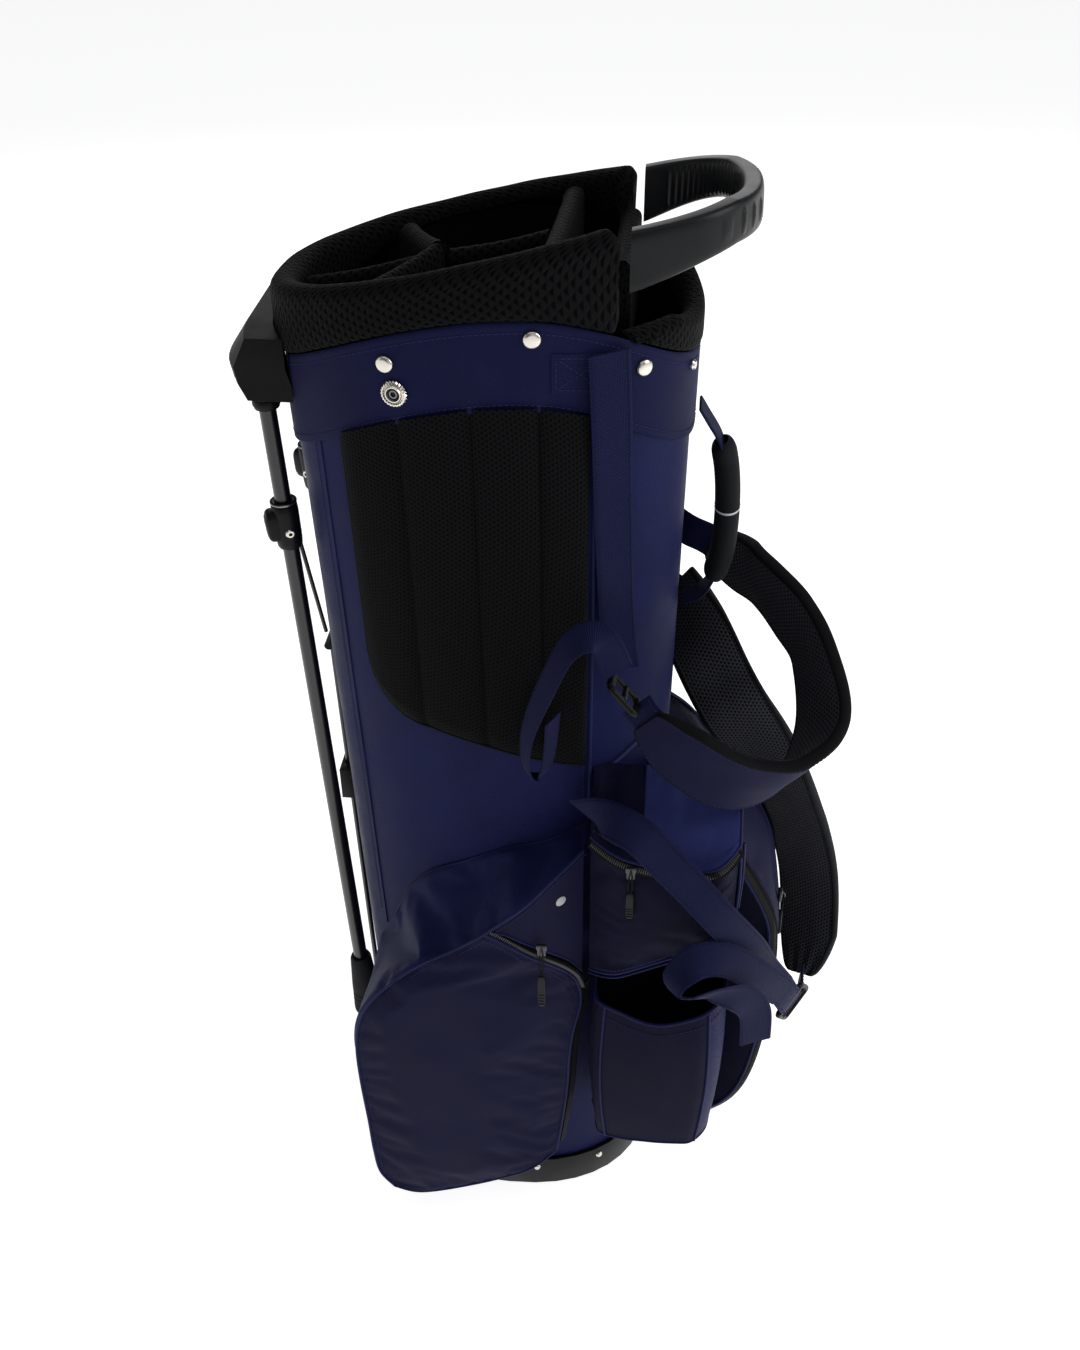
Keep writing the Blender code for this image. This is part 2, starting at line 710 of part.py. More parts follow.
for side, label in ((-1, "right"), (1, "left")):
    hinge = leg_point(side, 0.0)
    foot = leg_point(side, 1.0)
    axis = splay_axis(side)
    down = (foot - hinge).normalized()
    out = Vector((-math.cos(LEG_SPLAY), side * math.sin(LEG_SPLAY), 0))
    bay = prism(f"leg_bay_{label}", BAY_PROFILE, -BAY_HALF_WIDTH, BAY_HALF_WIDTH, "Y", None, cutters)
    bay.location = hinge
    bay.rotation_euler = (0, 0, -side * LEG_SPLAY)
    boolean(housing, bay, "DIFFERENCE")
    half_pin = axis * 0.0130
    cylinder(f"leg_pin_{label}", LEG_PIN_RADIUS, hinge - half_pin, hinge + half_pin, steel, sides=12)
    pin_cut = cylinder(
        f"leg_pin_cut_{label}", LEG_PIN_RADIUS + 0.0003, hinge - axis * 0.0134, hinge + axis * 0.0134,
        None, cutters,
    )
    boolean(housing, pin_cut, "DIFFERENCE")
    head = cylinder(
        f"leg_head_{label}", 0.0088, hinge - axis * 0.0088, hinge + axis * 0.0088, black_plastic, sides=20,
    )
    neck = cylinder(f"leg_neck_{label}", 0.0086, hinge + down * 0.002, hinge + down * 0.026, None, cutters)
    boolean(head, neck, "UNION")
    boolean(head, pin_cut, "DIFFERENCE")
    tube_cut = cylinder(
        f"leg_tube_cut_{label}", LEG_RADIUS + 0.0003, hinge + down * 0.0125, foot - down * 0.011,
        None, cutters,
    )
    boolean(head, tube_cut, "DIFFERENCE")
    tube_top = hinge + down * 0.0130
    cylinder(f"leg_tube_{label}", LEG_RADIUS, tube_top, foot - down * 0.0115, dark_tube, sides=16)
    clamp_at = leg_point(side, CLAMP_SHARE)
    clamp = cylinder(
        f"leg_clamp_{label}", 0.0092, clamp_at - down * 0.018, clamp_at + down * 0.018, black_plastic,
        sides=18,
    )
    ear = box(
        f"clamp_ear_{label}", (0.012, 0.013, 0.022), clamp_at + out * 0.0090, None, cutters,
        turn=(0, 0, -side * LEG_SPLAY),
    )
    boolean(clamp, ear, "UNION")
    boolean(clamp, tube_cut, "DIFFERENCE")
    shoe = cylinder(
        f"leg_foot_{label}", 0.0125, foot - down * 0.0005, foot - down * 0.070, black_plastic, sides=18,
        end_radius=0.0086,
    )
    bevel(shoe, 0.003, 2)
    boolean(shoe, tube_cut, "DIFFERENCE")


def push_rod():
    """Straight actuator rod down the leg side, from the links' crosshead to the foot plate."""
    rod = cylinder("push_rod", ROD_RADIUS, ROD_LOW, ROD_HIGH, dark_tube, sides=12)
    along = (ROD_HIGH - ROD_LOW).normalized()
    cross = ROD_HIGH - along * 0.003
    half = Vector((0, 0.011, 0))
    head = cylinder("rod_crosshead", 0.0034, cross - half, cross + half, None, cutters)
    shoe = ball("rod_shoe", 0.0050, ROD_LOW, cutters)
    boolean(rod, head, "UNION")
    boolean(rod, shoe, "UNION")
    return rod


push_rod()

for side, label in ((-1, "right"), (1, "left")):
    crosshead_end = ROD_HIGH + Vector((0.0, side * 0.0080, 0.0006))
    clamp_end = leg_point(side, CLAMP_SHARE) + LINK_PIVOT * Vector((1, side, 1))
    cylinder(
        f"link_{label}", LINK_RADIUS, clamp_end, clamp_end.lerp(crosshead_end, LINK_SHARE), dark_tube,
        sides=10,
    )

guide_at = ROD_LOW.lerp(ROD_HIGH, 0.73)
guide = box("rod_guide", (0.020, 0.024, 0.030), guide_at + Vector((0.0045, 0, 0)), black_plastic)
guide_hole = cylinder("rod_guide_cutter", ROD_RADIUS + 0.0006, ROD_LOW, ROD_HIGH, None, cutters)
boolean(guide, body_cutter, "DIFFERENCE")
boolean(guide, guide_hole, "DIFFERENCE")

# ---------------------------------------------------------------- hip pad and pockets
PAD_LEFT_X = -0.084
PAD_RIGHT_X = 0.072


def pad_bottom(x):
    """Lower edge of the hip pad: a quarter curve at the leg side, then a slow fall to the seam."""
    share = min(max((x - PAD_LEFT_X) / 0.045, 0.0), 1.0)
    return 0.590 - 0.055 * math.sqrt(1 - (1 - share) ** 2) - 0.30 * max(0.0, x + 0.04)


pad_start, pad_end = turn_at_x(PAD_LEFT_X, TOP_Z), turn_at_x(PAD_RIGHT_X, TOP_Z)
pad_turns = [2 * math.pi - pad_start + (pad_start - pad_end) * i / 12 for i in range(13)]
hip_pad = add(
    "hip_pad",
    mesh_of("hip_pad", *wall_band(pad_turns, [pad_bottom, lambda x: band_bottom(x) - 0.0015], GAP, False)),
    black_mesh,
)
solidify(hip_pad, 0.0050, 1)

cooler_outline = [
    (0.074, 0.098), (0.074, 0.250), (0.074, 0.437), (0.020, 0.412), (-0.030, 0.374), (-0.068, 0.330),
    (-0.093, 0.290), (-0.104, 0.250), (-0.106, 0.200), (-0.102, 0.120), (-0.094, 0.068), (-0.080, 0.050),
    (-0.048, 0.044), (0.010, 0.064), (0.050, 0.080),
]


def cooler_front(x, z):
    """Depth of the cooler pocket's face: sewn close to the sleeve at the seam, fullest at the leg side."""
    share = min(max((0.074 - x) / 0.050, 0.0), 1.0)
    return COOLER_SEAM_Y + (COOLER_FRONT_Y - COOLER_SEAM_Y) * math.sin(share * math.pi / 2)


cooler = outline_block("cooler_pocket", cooler_outline, -0.050, cooler_front, navy_fabric)
boolean(cooler, body_cutter, "DIFFERENCE")
bevel(cooler, 0.004, 1)


def grown(profile, amount):
    """The profile moved outwards from its middle, for a clearance cutter."""
    middle_h = sum(h for h, _ in profile) / len(profile)
    middle_z = sum(z for _, z in profile) / len(profile)
    return [
        (h + math.copysign(amount, h - middle_h), z + math.copysign(amount, z - middle_z)) for h, z in profile
    ]


BALL_PROFILE = [
    (0.100, 0.078), (0.158, 0.080), (0.192, 0.098), (0.211, 0.130), (0.222, 0.190), (BALL_POCKET_X, 0.300),
    (0.220, 0.345), (0.200, 0.388), (0.172, 0.432), (0.146, 0.466), (0.100, 0.486),
]
ball = prism("ball_pocket", BALL_PROFILE, BALL_POCKET_NEAR_Y, BALL_POCKET_FAR_Y, "Y", navy_fabric)
bevel(ball, 0.014, 2)
boolean(ball, body_cutter, "DIFFERENCE")

VALUABLES_PROFILE = [
    (-0.070, 0.322), (-0.130, 0.326), (VALUABLES_FRONT_Y, 0.340), (-0.135, 0.425), (-0.123, 0.455),
    (-0.104, 0.492), (-0.070, 0.500),
]
valuables = prism("valuables_pocket", VALUABLES_PROFILE, 0.0930, 0.1860, "X", navy_fabric)
bevel(valuables, 0.008, 2)
clearance = 0.0008
ball_cutter = prism(
    "ball_cutter", grown(BALL_PROFILE, clearance), BALL_POCKET_NEAR_Y - clearance,
    BALL_POCKET_FAR_Y + clearance, "Y", None, cutters,
)
boolean(valuables, body_cutter, "DIFFERENCE")
boolean(valuables, ball_cutter, "DIFFERENCE")

POUCH_BOTTOM = 0.114
POUCH_TOP = 0.284


def drink_pouch():
    """Open-topped pouch: a U-shaped wall in plan with a floor."""
    outer = [
        (0.084, -0.095), (0.085, -0.124), (0.092, -0.133), (0.138, -0.138), (0.172, -0.133), (0.184, -0.122),
        (0.188, -0.0795),
    ]
    inner = [
        (0.184, -0.0795), (0.180, -0.120), (0.170, -0.1285), (0.138, -0.1335), (0.094, -0.129),
        (0.0885, -0.122),
        (0.088, -0.095),
    ]
    floor = POUCH_BOTTOM + 0.004
    points, faces = [], []
    for z in (POUCH_BOTTOM, POUCH_TOP):
        points += [Vector((x, y, z)) for x, y in outer]
    for z in (floor, POUCH_TOP):
        points += [Vector((x, y, z)) for x, y in inner]
    n = len(outer)
    for i in range(n - 1):
        faces.append((i, i + 1, n + i + 1, n + i))
        faces.append((2 * n + i, 2 * n + i + 1, 3 * n + i + 1, 3 * n + i))
        faces.append((n + i, n + i + 1, 3 * n + n - 2 - i, 3 * n + n - 1 - i))
    faces.append(tuple(range(n)))
    faces.append(tuple(range(2 * n, 3 * n)))
    faces.append((0, n, 3 * n + n - 1, 2 * n + n - 1))
    faces.append((n - 1, 2 * n - 1, 3 * n, 2 * n))
    faces.append((0, n - 1, 2 * n, 3 * n - 1))
    return add("drink_pouch", mesh_of("drink_pouch", points, faces), navy_fabric)


pouch = drink_pouch()
boolean(pouch, body_cutter, "DIFFERENCE")

apparel = box("apparel_pocket", (0.150, 0.060, 0.560), (-0.008, 0.108, 0.385), navy_fabric)
bevel(apparel, 0.020, 3)
boolean(apparel, body_cutter, "DIFFERENCE")

# ---------------------------------------------------------------- zip sliders with their pulls


def zip_slider(name, at, out, down):
    """Slider body with a hanging pull, standing on a surface whose outward direction is out."""
    at, out, down = Vector(at), Vector(out).normalized(), Vector(down).normalized()
    side = out.cross(down).normalized()
    turn = Matrix((side, down, out)).transposed().to_4x4()

    def block(label, size, centre, collection):
        made = box(label, size, (0, 0, 0), None if collection is cutters else black_plastic, collection)
        made.matrix_world = Matrix.Translation(at) @ turn @ Matrix.Translation(centre)
        return made

    slider = block(name, (0.0085, 0.0110, 0.0034), (0, 0, 0.0017), parts)
    bail = block(name + "_bail", (0.0026, 0.0080, 0.0034), (0, 0.0010, 0.0046), cutters)
    pull = block(name + "_pull", (0.0060, 0.0340, 0.0020), (0, 0.0180, 0.0055), cutters)
    boolean(slider, bail, "UNION")
    boolean(slider, pull, "UNION")
    return slider


ZIP_REST_TURN = math.radians(63.5)
slider_x = ZIP_ARC_CENTRE.x + ZIP_ARC_RADIUS * math.cos(ZIP_REST_TURN)
slider_z = ZIP_ARC_CENTRE.z + ZIP_ARC_RADIUS * math.sin(ZIP_REST_TURN)
zip_slider("cooler_zip_slider", (slider_x, COOLER_FRONT_Y - 0.0006, slider_z), (0, -1, 0), (0, 0, -1))
zip_slider("ball_zip_slider", (BALL_POCKET_X + 0.0002, -0.040, 0.330), (1, 0, 0), (0, 0, -1))
zip_slider("valuables_zip_slider", (0.110, VALUABLES_FRONT_Y - 0.0006, 0.420), (0, -1, 0), (0, 0, -1))
zip_slider("apparel_zip_slider", (-0.030, 0.1386, 0.560), (0, 1, 0), (0, 0, -1))

# ---------------------------------------------------------------- grab handle on the spine
grab_stations = [
    ((0.1394, 0, 0.7440), (0.70, 0, 0.70)),
    ((0.1448, 0, 0.7350), (0.70, 0, 0.70)),
    ((0.1550, 0, 0.7170), (0.90, 0, 0.40)),
    ((0.1603, 0, 0.6941), (1, 0, 0.10)),
    ((0.1625, 0, 0.6625), (1, 0, 0)),
    ((0.1612, 0, 0.6294), (1, 0, -0.15)),
    ((0.1554, 0, 0.6078), (0.85, 0, -0.50)),
    ((0.1476, 0, 0.5942), (0.50, 0, -0.85)),
    ((0.1358, 0, 0.5880), (0.40, 0, -0.90)),
]
strap("grab_webbing", grab_stations, 0.022, WEBBING_THICKNESS, navy_fabric, steps=3)
grip = strap("grab_grip", grab_stations[2:7], 0.026, 0.018, foam, steps=3, rounded=True)
grip_core = strap(
    "grip_core_cutter", grab_stations, 0.0228, WEBBING_THICKNESS + 0.0008, None, steps=3, collection=cutters,
)
boolean(grip, grip_core, "DIFFERENCE")

# ---------------------------------------------------------------- shoulder straps, webbing and buckles
right_strap = [
    ((0.1160, -0.1260, 0.5700), (0.00, -0.93, -0.35)),
    ((0.1465, -0.1320, 0.5450), (0.05, -0.95, -0.30)),
    ((0.1821, -0.1240, 0.5186), (0.15, -0.95, -0.20)),
    ((0.2175, -0.0980, 0.5080), (0.45, -0.70, -0.55)),
    ((0.2400, -0.0600, 0.5250), (0.80, 0.20, -0.55)),
    ((0.2320, -0.0250, 0.5600), (0.80, 0.55, 0.00)),
    ((0.2160, 0.0000, 0.5757), (0.65, 0.75, 0.10)),
    ((0.1966, 0.0220, 0.5872), (0.45, 0.85, 0.25)),
    ((0.1779, 0.0380, 0.5943), (0.30, 0.92, 0.20)),
    ((0.1560, 0.0480, 0.6060), (0.30, 0.95, 0.10)),
]
left_strap = [
    ((0.1545, 0.0360, 0.5160), (0.10, 0.80, -0.60)),
    ((0.1670, 0.0230, 0.4970), (0.10, 0.80, -0.60)),
    ((0.1825, 0.0110, 0.4760), (0.20, 0.82, -0.54)),
    ((0.2130, 0.0180, 0.4240), (0.40, 0.86, -0.30)),
    ((0.2405, 0.0360, 0.3500), (0.45, 0.88, -0.05)),
    ((0.2580, 0.0400, 0.2810), (0.45, 0.89, 0.00)),
    ((0.2630, 0.0240, 0.2240), (0.50, 0.87, 0.00)),
    ((0.2585, 0.0020, 0.1930), (0.45, 0.88, 0.00)),
]
strap("shoulder_strap_right", right_strap, STRAP_WIDTH, STRAP_THICKNESS, black_mesh, steps=4, rounded=True)
strap("shoulder_strap_left", left_strap, STRAP_WIDTH, STRAP_THICKNESS, black_mesh, steps=4, rounded=True)

LOOSE_GROW = 0.0042
WALL_WEBBING = [(0.0836, 0.8230), (0.0860, 0.7770), (0.0875, 0.7242), (0.0898, 0.6743), (0.0922, 0.6253)]
upper_webbing = [wall_seat(x, z, LOOSE_GROW + (0.0030 if z > 0.74 else 0.0)) for x, z in WALL_WEBBING]
upper_webbing.append(((0.0965, -0.1050, 0.5980), (0.40, -0.85, 0.10)))
strap("webbing_upper", upper_webbing, WEBBING_WIDTH, WEBBING_THICKNESS, navy_fabric, steps=3)

lower_webbing = [
    ((0.0720, -0.1130, 0.4740), (0.30, -0.90, 0.20)),
    ((0.0950, -0.1405, 0.4910), (0.15, -0.80, 0.55)),
    ((0.1155, -0.1505, 0.4870), (0.12, -0.82, 0.55)),
    ((0.1331, -0.1520, 0.4670), (0.12, -0.88, 0.45)),
    ((0.1525, -0.1520, 0.4437), (0.15, -0.93, 0.30)),
    ((0.1770, -0.1490, 0.4090), (0.30, -0.93, 0.15)),
    ((0.2030, -0.1280, 0.3560), (0.60, -0.80, 0.10)),
    ((0.2190, -0.0920, 0.2951), (0.65, -0.75, 0.05)),
    ((0.2370, -0.0720, 0.2520), (0.80, -0.60, 0.00)),
]
strap("webbing_lower", lower_webbing, WEBBING_WIDTH, WEBBING_THICKNESS, navy_fabric, steps=3)

hub_webbing = [wall_seat(x, z, LOOSE_GROW + (0.0030 if z > 0.72 else 0.0), 1) for x, z in (
    (0.1120, 0.7500), (0.1120, 0.7000), (0.1120, 0.6400), (0.1120, 0.5700),
)]
strap("webbing_hub", hub_webbing, WEBBING_WIDTH, WEBBING_THICKNESS, navy_fabric, steps=3)

upper_tail = [
    ((0.0960, -0.1220, 0.6080), (0.30, -0.80, 0.30)),
    ((0.0833, -0.1280, 0.6381), (-0.30, -0.60, 0.70)),
    ((0.0643, -0.1320, 0.6331), (-0.70, -0.50, 0.50)),
    ((0.0484, -0.1350, 0.5989), (-0.85, -0.50, 0.20)),
    ((0.0359, -0.1350, 0.5595), (-0.90, -0.40, 0.10)),
    ((0.0350, -0.1340, 0.5280), (-0.80, -0.40, -0.40)),
    ((0.0440, -0.1320, 0.5200), (0.30, -0.40, -0.85)),
    ((0.0500, -0.1300, 0.5350), (0.90, -0.35, -0.10)),
    ((0.0530, -0.1280, 0.5700), (0.90, -0.40, 0.00)),
]
strap("webbing_tail_upper", upper_tail, 0.022, 0.0016, navy_fabric, steps=3)

lower_tail = [
    ((0.2330, -0.1080, 0.2900), (0.50, -0.85, 0.10)),
    ((0.2100, -0.1360, 0.3380), (0.30, -0.80, 0.50)),
    ((0.1846, -0.1560, 0.3745), (0.10, -0.75, 0.65)),
    ((0.1625, -0.1680, 0.3852), (-0.10, -0.75, 0.65)),
    ((0.1475, -0.1760, 0.3766), (-0.75, -0.50, 0.40)),
    ((0.1446, -0.1780, 0.3626), (-0.70, -0.55, -0.45)),
    ((0.1570, -0.1790, 0.3570), (0.00, -0.75, -0.65)),
    ((0.1760, -0.1740, 0.3580), (0.30, -0.85, -0.40)),
    ((0.1960, -0.1640, 0.3440), (0.40, -0.90, 0.10)),
    ((0.2080, -0.1540, 0.3180), (0.35, -0.93, 0.10)),
    ((0.2110, -0.1500, 0.2800), (0.35, -0.93, 0.00)),
]
strap("webbing_tail_lower", lower_tail, 0.026, 0.0016, navy_fabric, steps=3)


def ladder_buckle(name, at, along, out):
    """Flat plastic ladder-lock frame with two slots."""
    at, along, out = Vector(at), Vector(along).normalized(), Vector(out).normalized()
    across = along.cross(out).normalized()
    out = across.cross(along).normalized()
    turn = Matrix((across, along, out)).transposed().to_4x4()
    frame = box(name, (0.037, 0.030, 0.0060), (0, 0, 0), black_plastic)
    frame.matrix_world = Matrix.Translation(at) @ turn
    bevel(frame, 0.0018, 1)
    for label, shift in (("front", 0.0070), ("back", -0.0070)):
        slot = box(f"{name}_slot_{label}", (0.0290, 0.0070, 0.030), (0, 0, 0), None, cutters)
        slot.matrix_world = Matrix.Translation(at) @ turn @ Matrix.Translation((0, shift, 0))
        boolean(frame, slot, "DIFFERENCE")
    return frame


ladder_buckle("buckle_upper", (0.1000, -0.1200, 0.5870), (0.66, -0.25, -0.62), (0.70, 0.25, 0.66))
ladder_buckle("buckle_lower", (0.2490, -0.0440, 0.2080), (0.25, 0.45, -0.60), (0.70, -0.70, 0.0))


# ---------------------------------------------------------------- joint empties that carry the moving pieces
def hang(label, place, axis, names):
    """An empty at a joint, its Z along the axis, that carries the pieces which move with it."""
    empty = bpy.data.objects.new(f"joint_{label}", None)
    parts.objects.link(empty)
    empty.empty_display_size = 0.02
    empty.location = place
    empty.rotation_mode = "QUATERNION"
    empty.rotation_quaternion = Vector(axis).to_track_quat("Z", "Y")
    bpy.context.view_layer.update()
    for name in names:
        piece = bpy.data.objects[name]
        world = piece.matrix_world.copy()
        piece.parent = empty
        piece.matrix_world = world
    return empty


for side, label in ((-1, "right"), (1, "left")):
    leg = hang(
        f"leg_{label}", leg_point(side, 0.0), splay_axis(side),
        [f"leg_{piece}_{label}" for piece in ("head", "tube", "clamp", "foot")],
    )
    clamp_end = leg_point(side, CLAMP_SHARE) + LINK_PIVOT * Vector((1, side, 1))
    link_joint = hang(f"link_{label}", clamp_end, (side * -0.5426, -0.8230, side * 0.1681), [f"link_{label}"])
    bpy.context.view_layer.update()
    world = link_joint.matrix_world.copy()
    link_joint.parent = leg
    link_joint.matrix_world = world
hang("push_rod", ROD_LOW, ROD_HIGH - ROD_LOW, ["push_rod"])
hang("foot_plate", PLATE_PIVOT, (0, 1, 0), ["foot_plate"])
grab_low, grab_high = grab_stations[-1][0], grab_stations[0][0]
grab_low, grab_high = Vector(grab_low), Vector(grab_high)
hang("grab_handle", (grab_low + grab_high) / 2, grab_high - grab_low, ["grab_webbing", "grab_grip"])
hang("cooler_zip", ZIP_ARC_CENTRE + Vector((0, COOLER_FRONT_Y, 0)), (0, 1, 0), ["cooler_zip_slider"])
hang("ball_zip", (BALL_POCKET_X, -0.040, 0.330), (0, 0, -1), ["ball_zip_slider"])
hang("valuables_zip", (0.110, VALUABLES_FRONT_Y, 0.420), (1, 0, 0), ["valuables_zip_slider"])
hang("apparel_zip", (-0.030, 0.1386, 0.560), (0, 0, -1), ["apparel_zip_slider"])
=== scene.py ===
"""Looks of the golf stand bag: fabric, quilted mesh padding, moulded plastic, webbing and metal.

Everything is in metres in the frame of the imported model: +Z up, -X the leg side,
+X the spine with the handles, -Y the side with the cooler pocket.
Shapes that follow the sleeve repeat the CAD model's own oval.
"""

import math

import bmesh
import bpy
import numpy as np
from mathutils import Matrix, Vector, kdtree, noise


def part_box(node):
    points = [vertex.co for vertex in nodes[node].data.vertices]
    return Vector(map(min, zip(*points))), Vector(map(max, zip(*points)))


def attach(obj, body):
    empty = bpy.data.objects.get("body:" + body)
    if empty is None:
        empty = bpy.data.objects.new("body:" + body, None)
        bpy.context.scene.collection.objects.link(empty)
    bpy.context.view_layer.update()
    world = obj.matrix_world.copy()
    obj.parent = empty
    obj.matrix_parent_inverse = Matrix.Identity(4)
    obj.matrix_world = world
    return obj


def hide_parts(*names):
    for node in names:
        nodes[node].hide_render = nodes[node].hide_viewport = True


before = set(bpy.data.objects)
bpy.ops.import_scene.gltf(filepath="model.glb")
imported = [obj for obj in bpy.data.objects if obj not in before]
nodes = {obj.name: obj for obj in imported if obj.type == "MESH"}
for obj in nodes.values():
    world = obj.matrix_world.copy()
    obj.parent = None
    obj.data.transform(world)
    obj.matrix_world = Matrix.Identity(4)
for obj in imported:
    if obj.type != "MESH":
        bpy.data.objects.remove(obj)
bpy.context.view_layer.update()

# The sleeve's oval, as in the CAD model
TOP_Z = 0.78
TOP_HALF_LENGTH, TOP_HALF_WIDTH = 0.134, 0.106
BASE_HALF_LENGTH, BASE_HALF_WIDTH = 0.117, 0.100
BASE_SHIFT = 0.009
OVAL_POWER = 2.3
BEVEL_LINE_X = -0.021
BEVEL_SLOPE = math.tan(math.radians(28.5))
BAND_PEAK_X = 0.03
CUFF_MID_Z, CUFF_SLOPE = 0.850, 0.233
CUFF_RISE, CUFF_CROSS_SLOPE = 0.013, 0.120
CUFF_GROW, CUFF_WALL, CUFF_END_X = 0.0055, 0.018, 0.092
CHEVRON_X, CHEVRON_SWEEP, CROSS_X, BRIDGE_X = -0.034, 0.032, 0.046, 0.086
DIVIDER_WIDTH = 0.015
SPLAY = math.radians(25)

# Fabric dimensions
PIPING_RADIUS = 0.0012
STRAP_WIDTH, STRAP_THICKNESS = 0.054, 0.011
THREAD_RADIUS = 0.00028
STITCH_LENGTH, STITCH_GAP = 0.0026, 0.0012
TOOTH_PITCH, TOOTH_REACH, TOOTH_RADIUS = 0.0016, 0.0022, 0.00055

# Materials and the cloth simulation
NOISE_ROUGHNESS = 0.55
SCRATCH_DEPTH = 0.00002
CLOTH_STEPS = 20

# Name, place, target, size and watts of each lamp
LAMPS = (
    ("overhead", (0.10, -0.25, 2.6), (0.0, 0.0, 0.4), (2.4, 2.0), 8),
    ("front_soft", (0.9, -2.0, 1.4), (0.05, 0.0, 0.4), (1.8, 1.8), 3.5),
    ("spine_side", (2.0, -0.3, 1.7), (0.10, 0.0, 0.5), (1.2, 1.6), 24),
    ("leg_side", (-2.1, -0.9, 1.2), (-0.05, 0.0, 0.5), (1.2, 1.6), 3),
    ("rear_soft", (-0.3, 2.2, 1.6), (0.0, 0.0, 0.4), (1.8, 1.6), 12),
)
FLOOR_REACH = 14.0

scene = bpy.context.scene


# ---------------------------------------------------------------- camera, light and floor
def set_camera():
    camera = bpy.data.objects.new("camera", bpy.data.cameras.new("camera"))
    scene.collection.objects.link(camera)
    elevation, azimuth, roll = math.radians(37.2), math.radians(6.4), math.radians(-0.5)
    target, distance = Vector((0.03, 0.0, 0.508)), 1.153
    back = Vector(
        (
            math.sin(azimuth) * math.cos(elevation), -math.cos(azimuth) * math.cos(elevation),
            math.sin(elevation),
        )
    )
    turn = (-back).to_track_quat("-Z", "Y").to_matrix() @ Matrix.Rotation(roll, 3, "Z")
    camera.matrix_world = Matrix.Translation(target + back * distance) @ turn.to_4x4()
    camera.data.sensor_width = 36.0
    camera.data.lens = 40.0
    camera.data.clip_start = 0.01
    scene.camera = camera


def area_light(name, place, target, size, watts):
    light = bpy.data.lights.new(name, "AREA")
    light.shape = "RECTANGLE"
    light.size, light.size_y = size
    light.energy = watts
    lamp = bpy.data.objects.new(name, light)
    scene.collection.objects.link(lamp)
    lamp.location = place
    lamp.rotation_euler = (Vector(target) - Vector(place)).to_track_quat("-Z", "Y").to_euler()


def set_studio():
    scene.view_settings.view_transform = "Standard"
    scene.view_settings.look = "None"
    world = bpy.data.worlds.new("studio")
    world.use_nodes = True
    background = world.node_tree.nodes["Background"]
    background.inputs["Color"].default_value = (0.97, 0.98, 1.0, 1)
    background.inputs["Strength"].default_value = 0.15
    scene.world = world
    for lamp in LAMPS:
        area_light(*lamp)
    floor_mesh = bpy.data.meshes.new("floor")
    floor_mesh.from_pydata(
        [(x * FLOOR_REACH, y * FLOOR_REACH, 0) for x, y in ((-1, -1), (1, -1), (1, 1), (-1, 1))], [],
        [(0, 1, 2, 3)],
    )
    floor = bpy.data.objects.new("floor", floor_mesh)
    floor.location.z = -0.0005
    scene.collection.objects.link(floor)
    paint, _, face = shader("floor_paint", (0.93, 0.93, 0.93), 0.85, specular=0.1)
    face.inputs["Emission Color"].default_value = (1, 1, 1, 1)
    face.inputs["Emission Strength"].default_value = 0.78
    floor_mesh.materials.append(paint)


# ---------------------------------------------------------------- materials
def shader(name, colour, roughness, metallic=0.0, sheen=0.0, coat=0.0, specular=0.5):
    made = bpy.data.materials.new(name)
    made.use_nodes = True
    tree = made.node_tree
    face = tree.nodes["Principled BSDF"]
    face.inputs["Base Color"].default_value = (*colour, 1)
    face.inputs["Roughness"].default_value = roughness
    face.inputs["Metallic"].default_value = metallic
    face.inputs["Sheen Weight"].default_value = sheen
    face.inputs["Sheen Roughness"].default_value = 0.45
    face.inputs["Coat Weight"].default_value = coat
    face.inputs["Coat Roughness"].default_value = 0.25
    face.inputs["Specular IOR Level"].default_value = specular
    return made, tree, face


def node(tree, kind, inputs=None, **settings):
    """A shader node with its settings and inputs. An input given as a socket is linked."""
    made = tree.nodes.new(kind)
    for key, value in settings.items():
        setattr(made, key, value)
    for key, value in (inputs or {}).items():
        if isinstance(value, bpy.types.NodeSocket):
            tree.links.new(value, made.inputs[key])
        else:
            made.inputs[key].default_value = value
    return made


def maths(tree, operation, a, b=0.0):
    return node(tree, "ShaderNodeMath", {0: a, 1: b}, operation=operation).outputs[0]


def waves(tree, source, direction, pitch):
    """0 to 1 sine along a direction of the surface's own coordinates, one period per pitch."""
    along = node(
        tree, "ShaderNodeVectorMath", {0: source, 1: direction}, operation="DOT_PRODUCT",
    ).outputs["Value"]
    turned = maths(tree, "MULTIPLY", along, 2 * math.pi / pitch)
    sine = maths(tree, "SINE", turned)
    return half_up(tree, sine)


def half_up(tree, value):
    return node(tree, "ShaderNodeMath", {0: value, 1: 0.5, 2: 0.5}, operation="MULTIPLY_ADD").outputs[0]


def speckle(tree, source, scale, detail=3.0):
    return node(
        tree, "ShaderNodeTexNoise",
        {"Vector": source, "Scale": scale, "Detail": detail, "Roughness": NOISE_ROUGHNESS},
    ).outputs["Fac"]


def mix_colour(tree, share, first, second):
    made = node(tree, "ShaderNodeMix", {"Factor": share}, data_type="RGBA")
    made.inputs[6].default_value = (*first, 1)
    made.inputs[7].default_value = (*second, 1)
    return made.outputs[2]


def ramp(tree, value, low, high):
    made = node(tree, "ShaderNodeMapRange", {"Value": value, "From Min": low, "From Max": high}, clamp=True)
    return made.outputs["Result"]


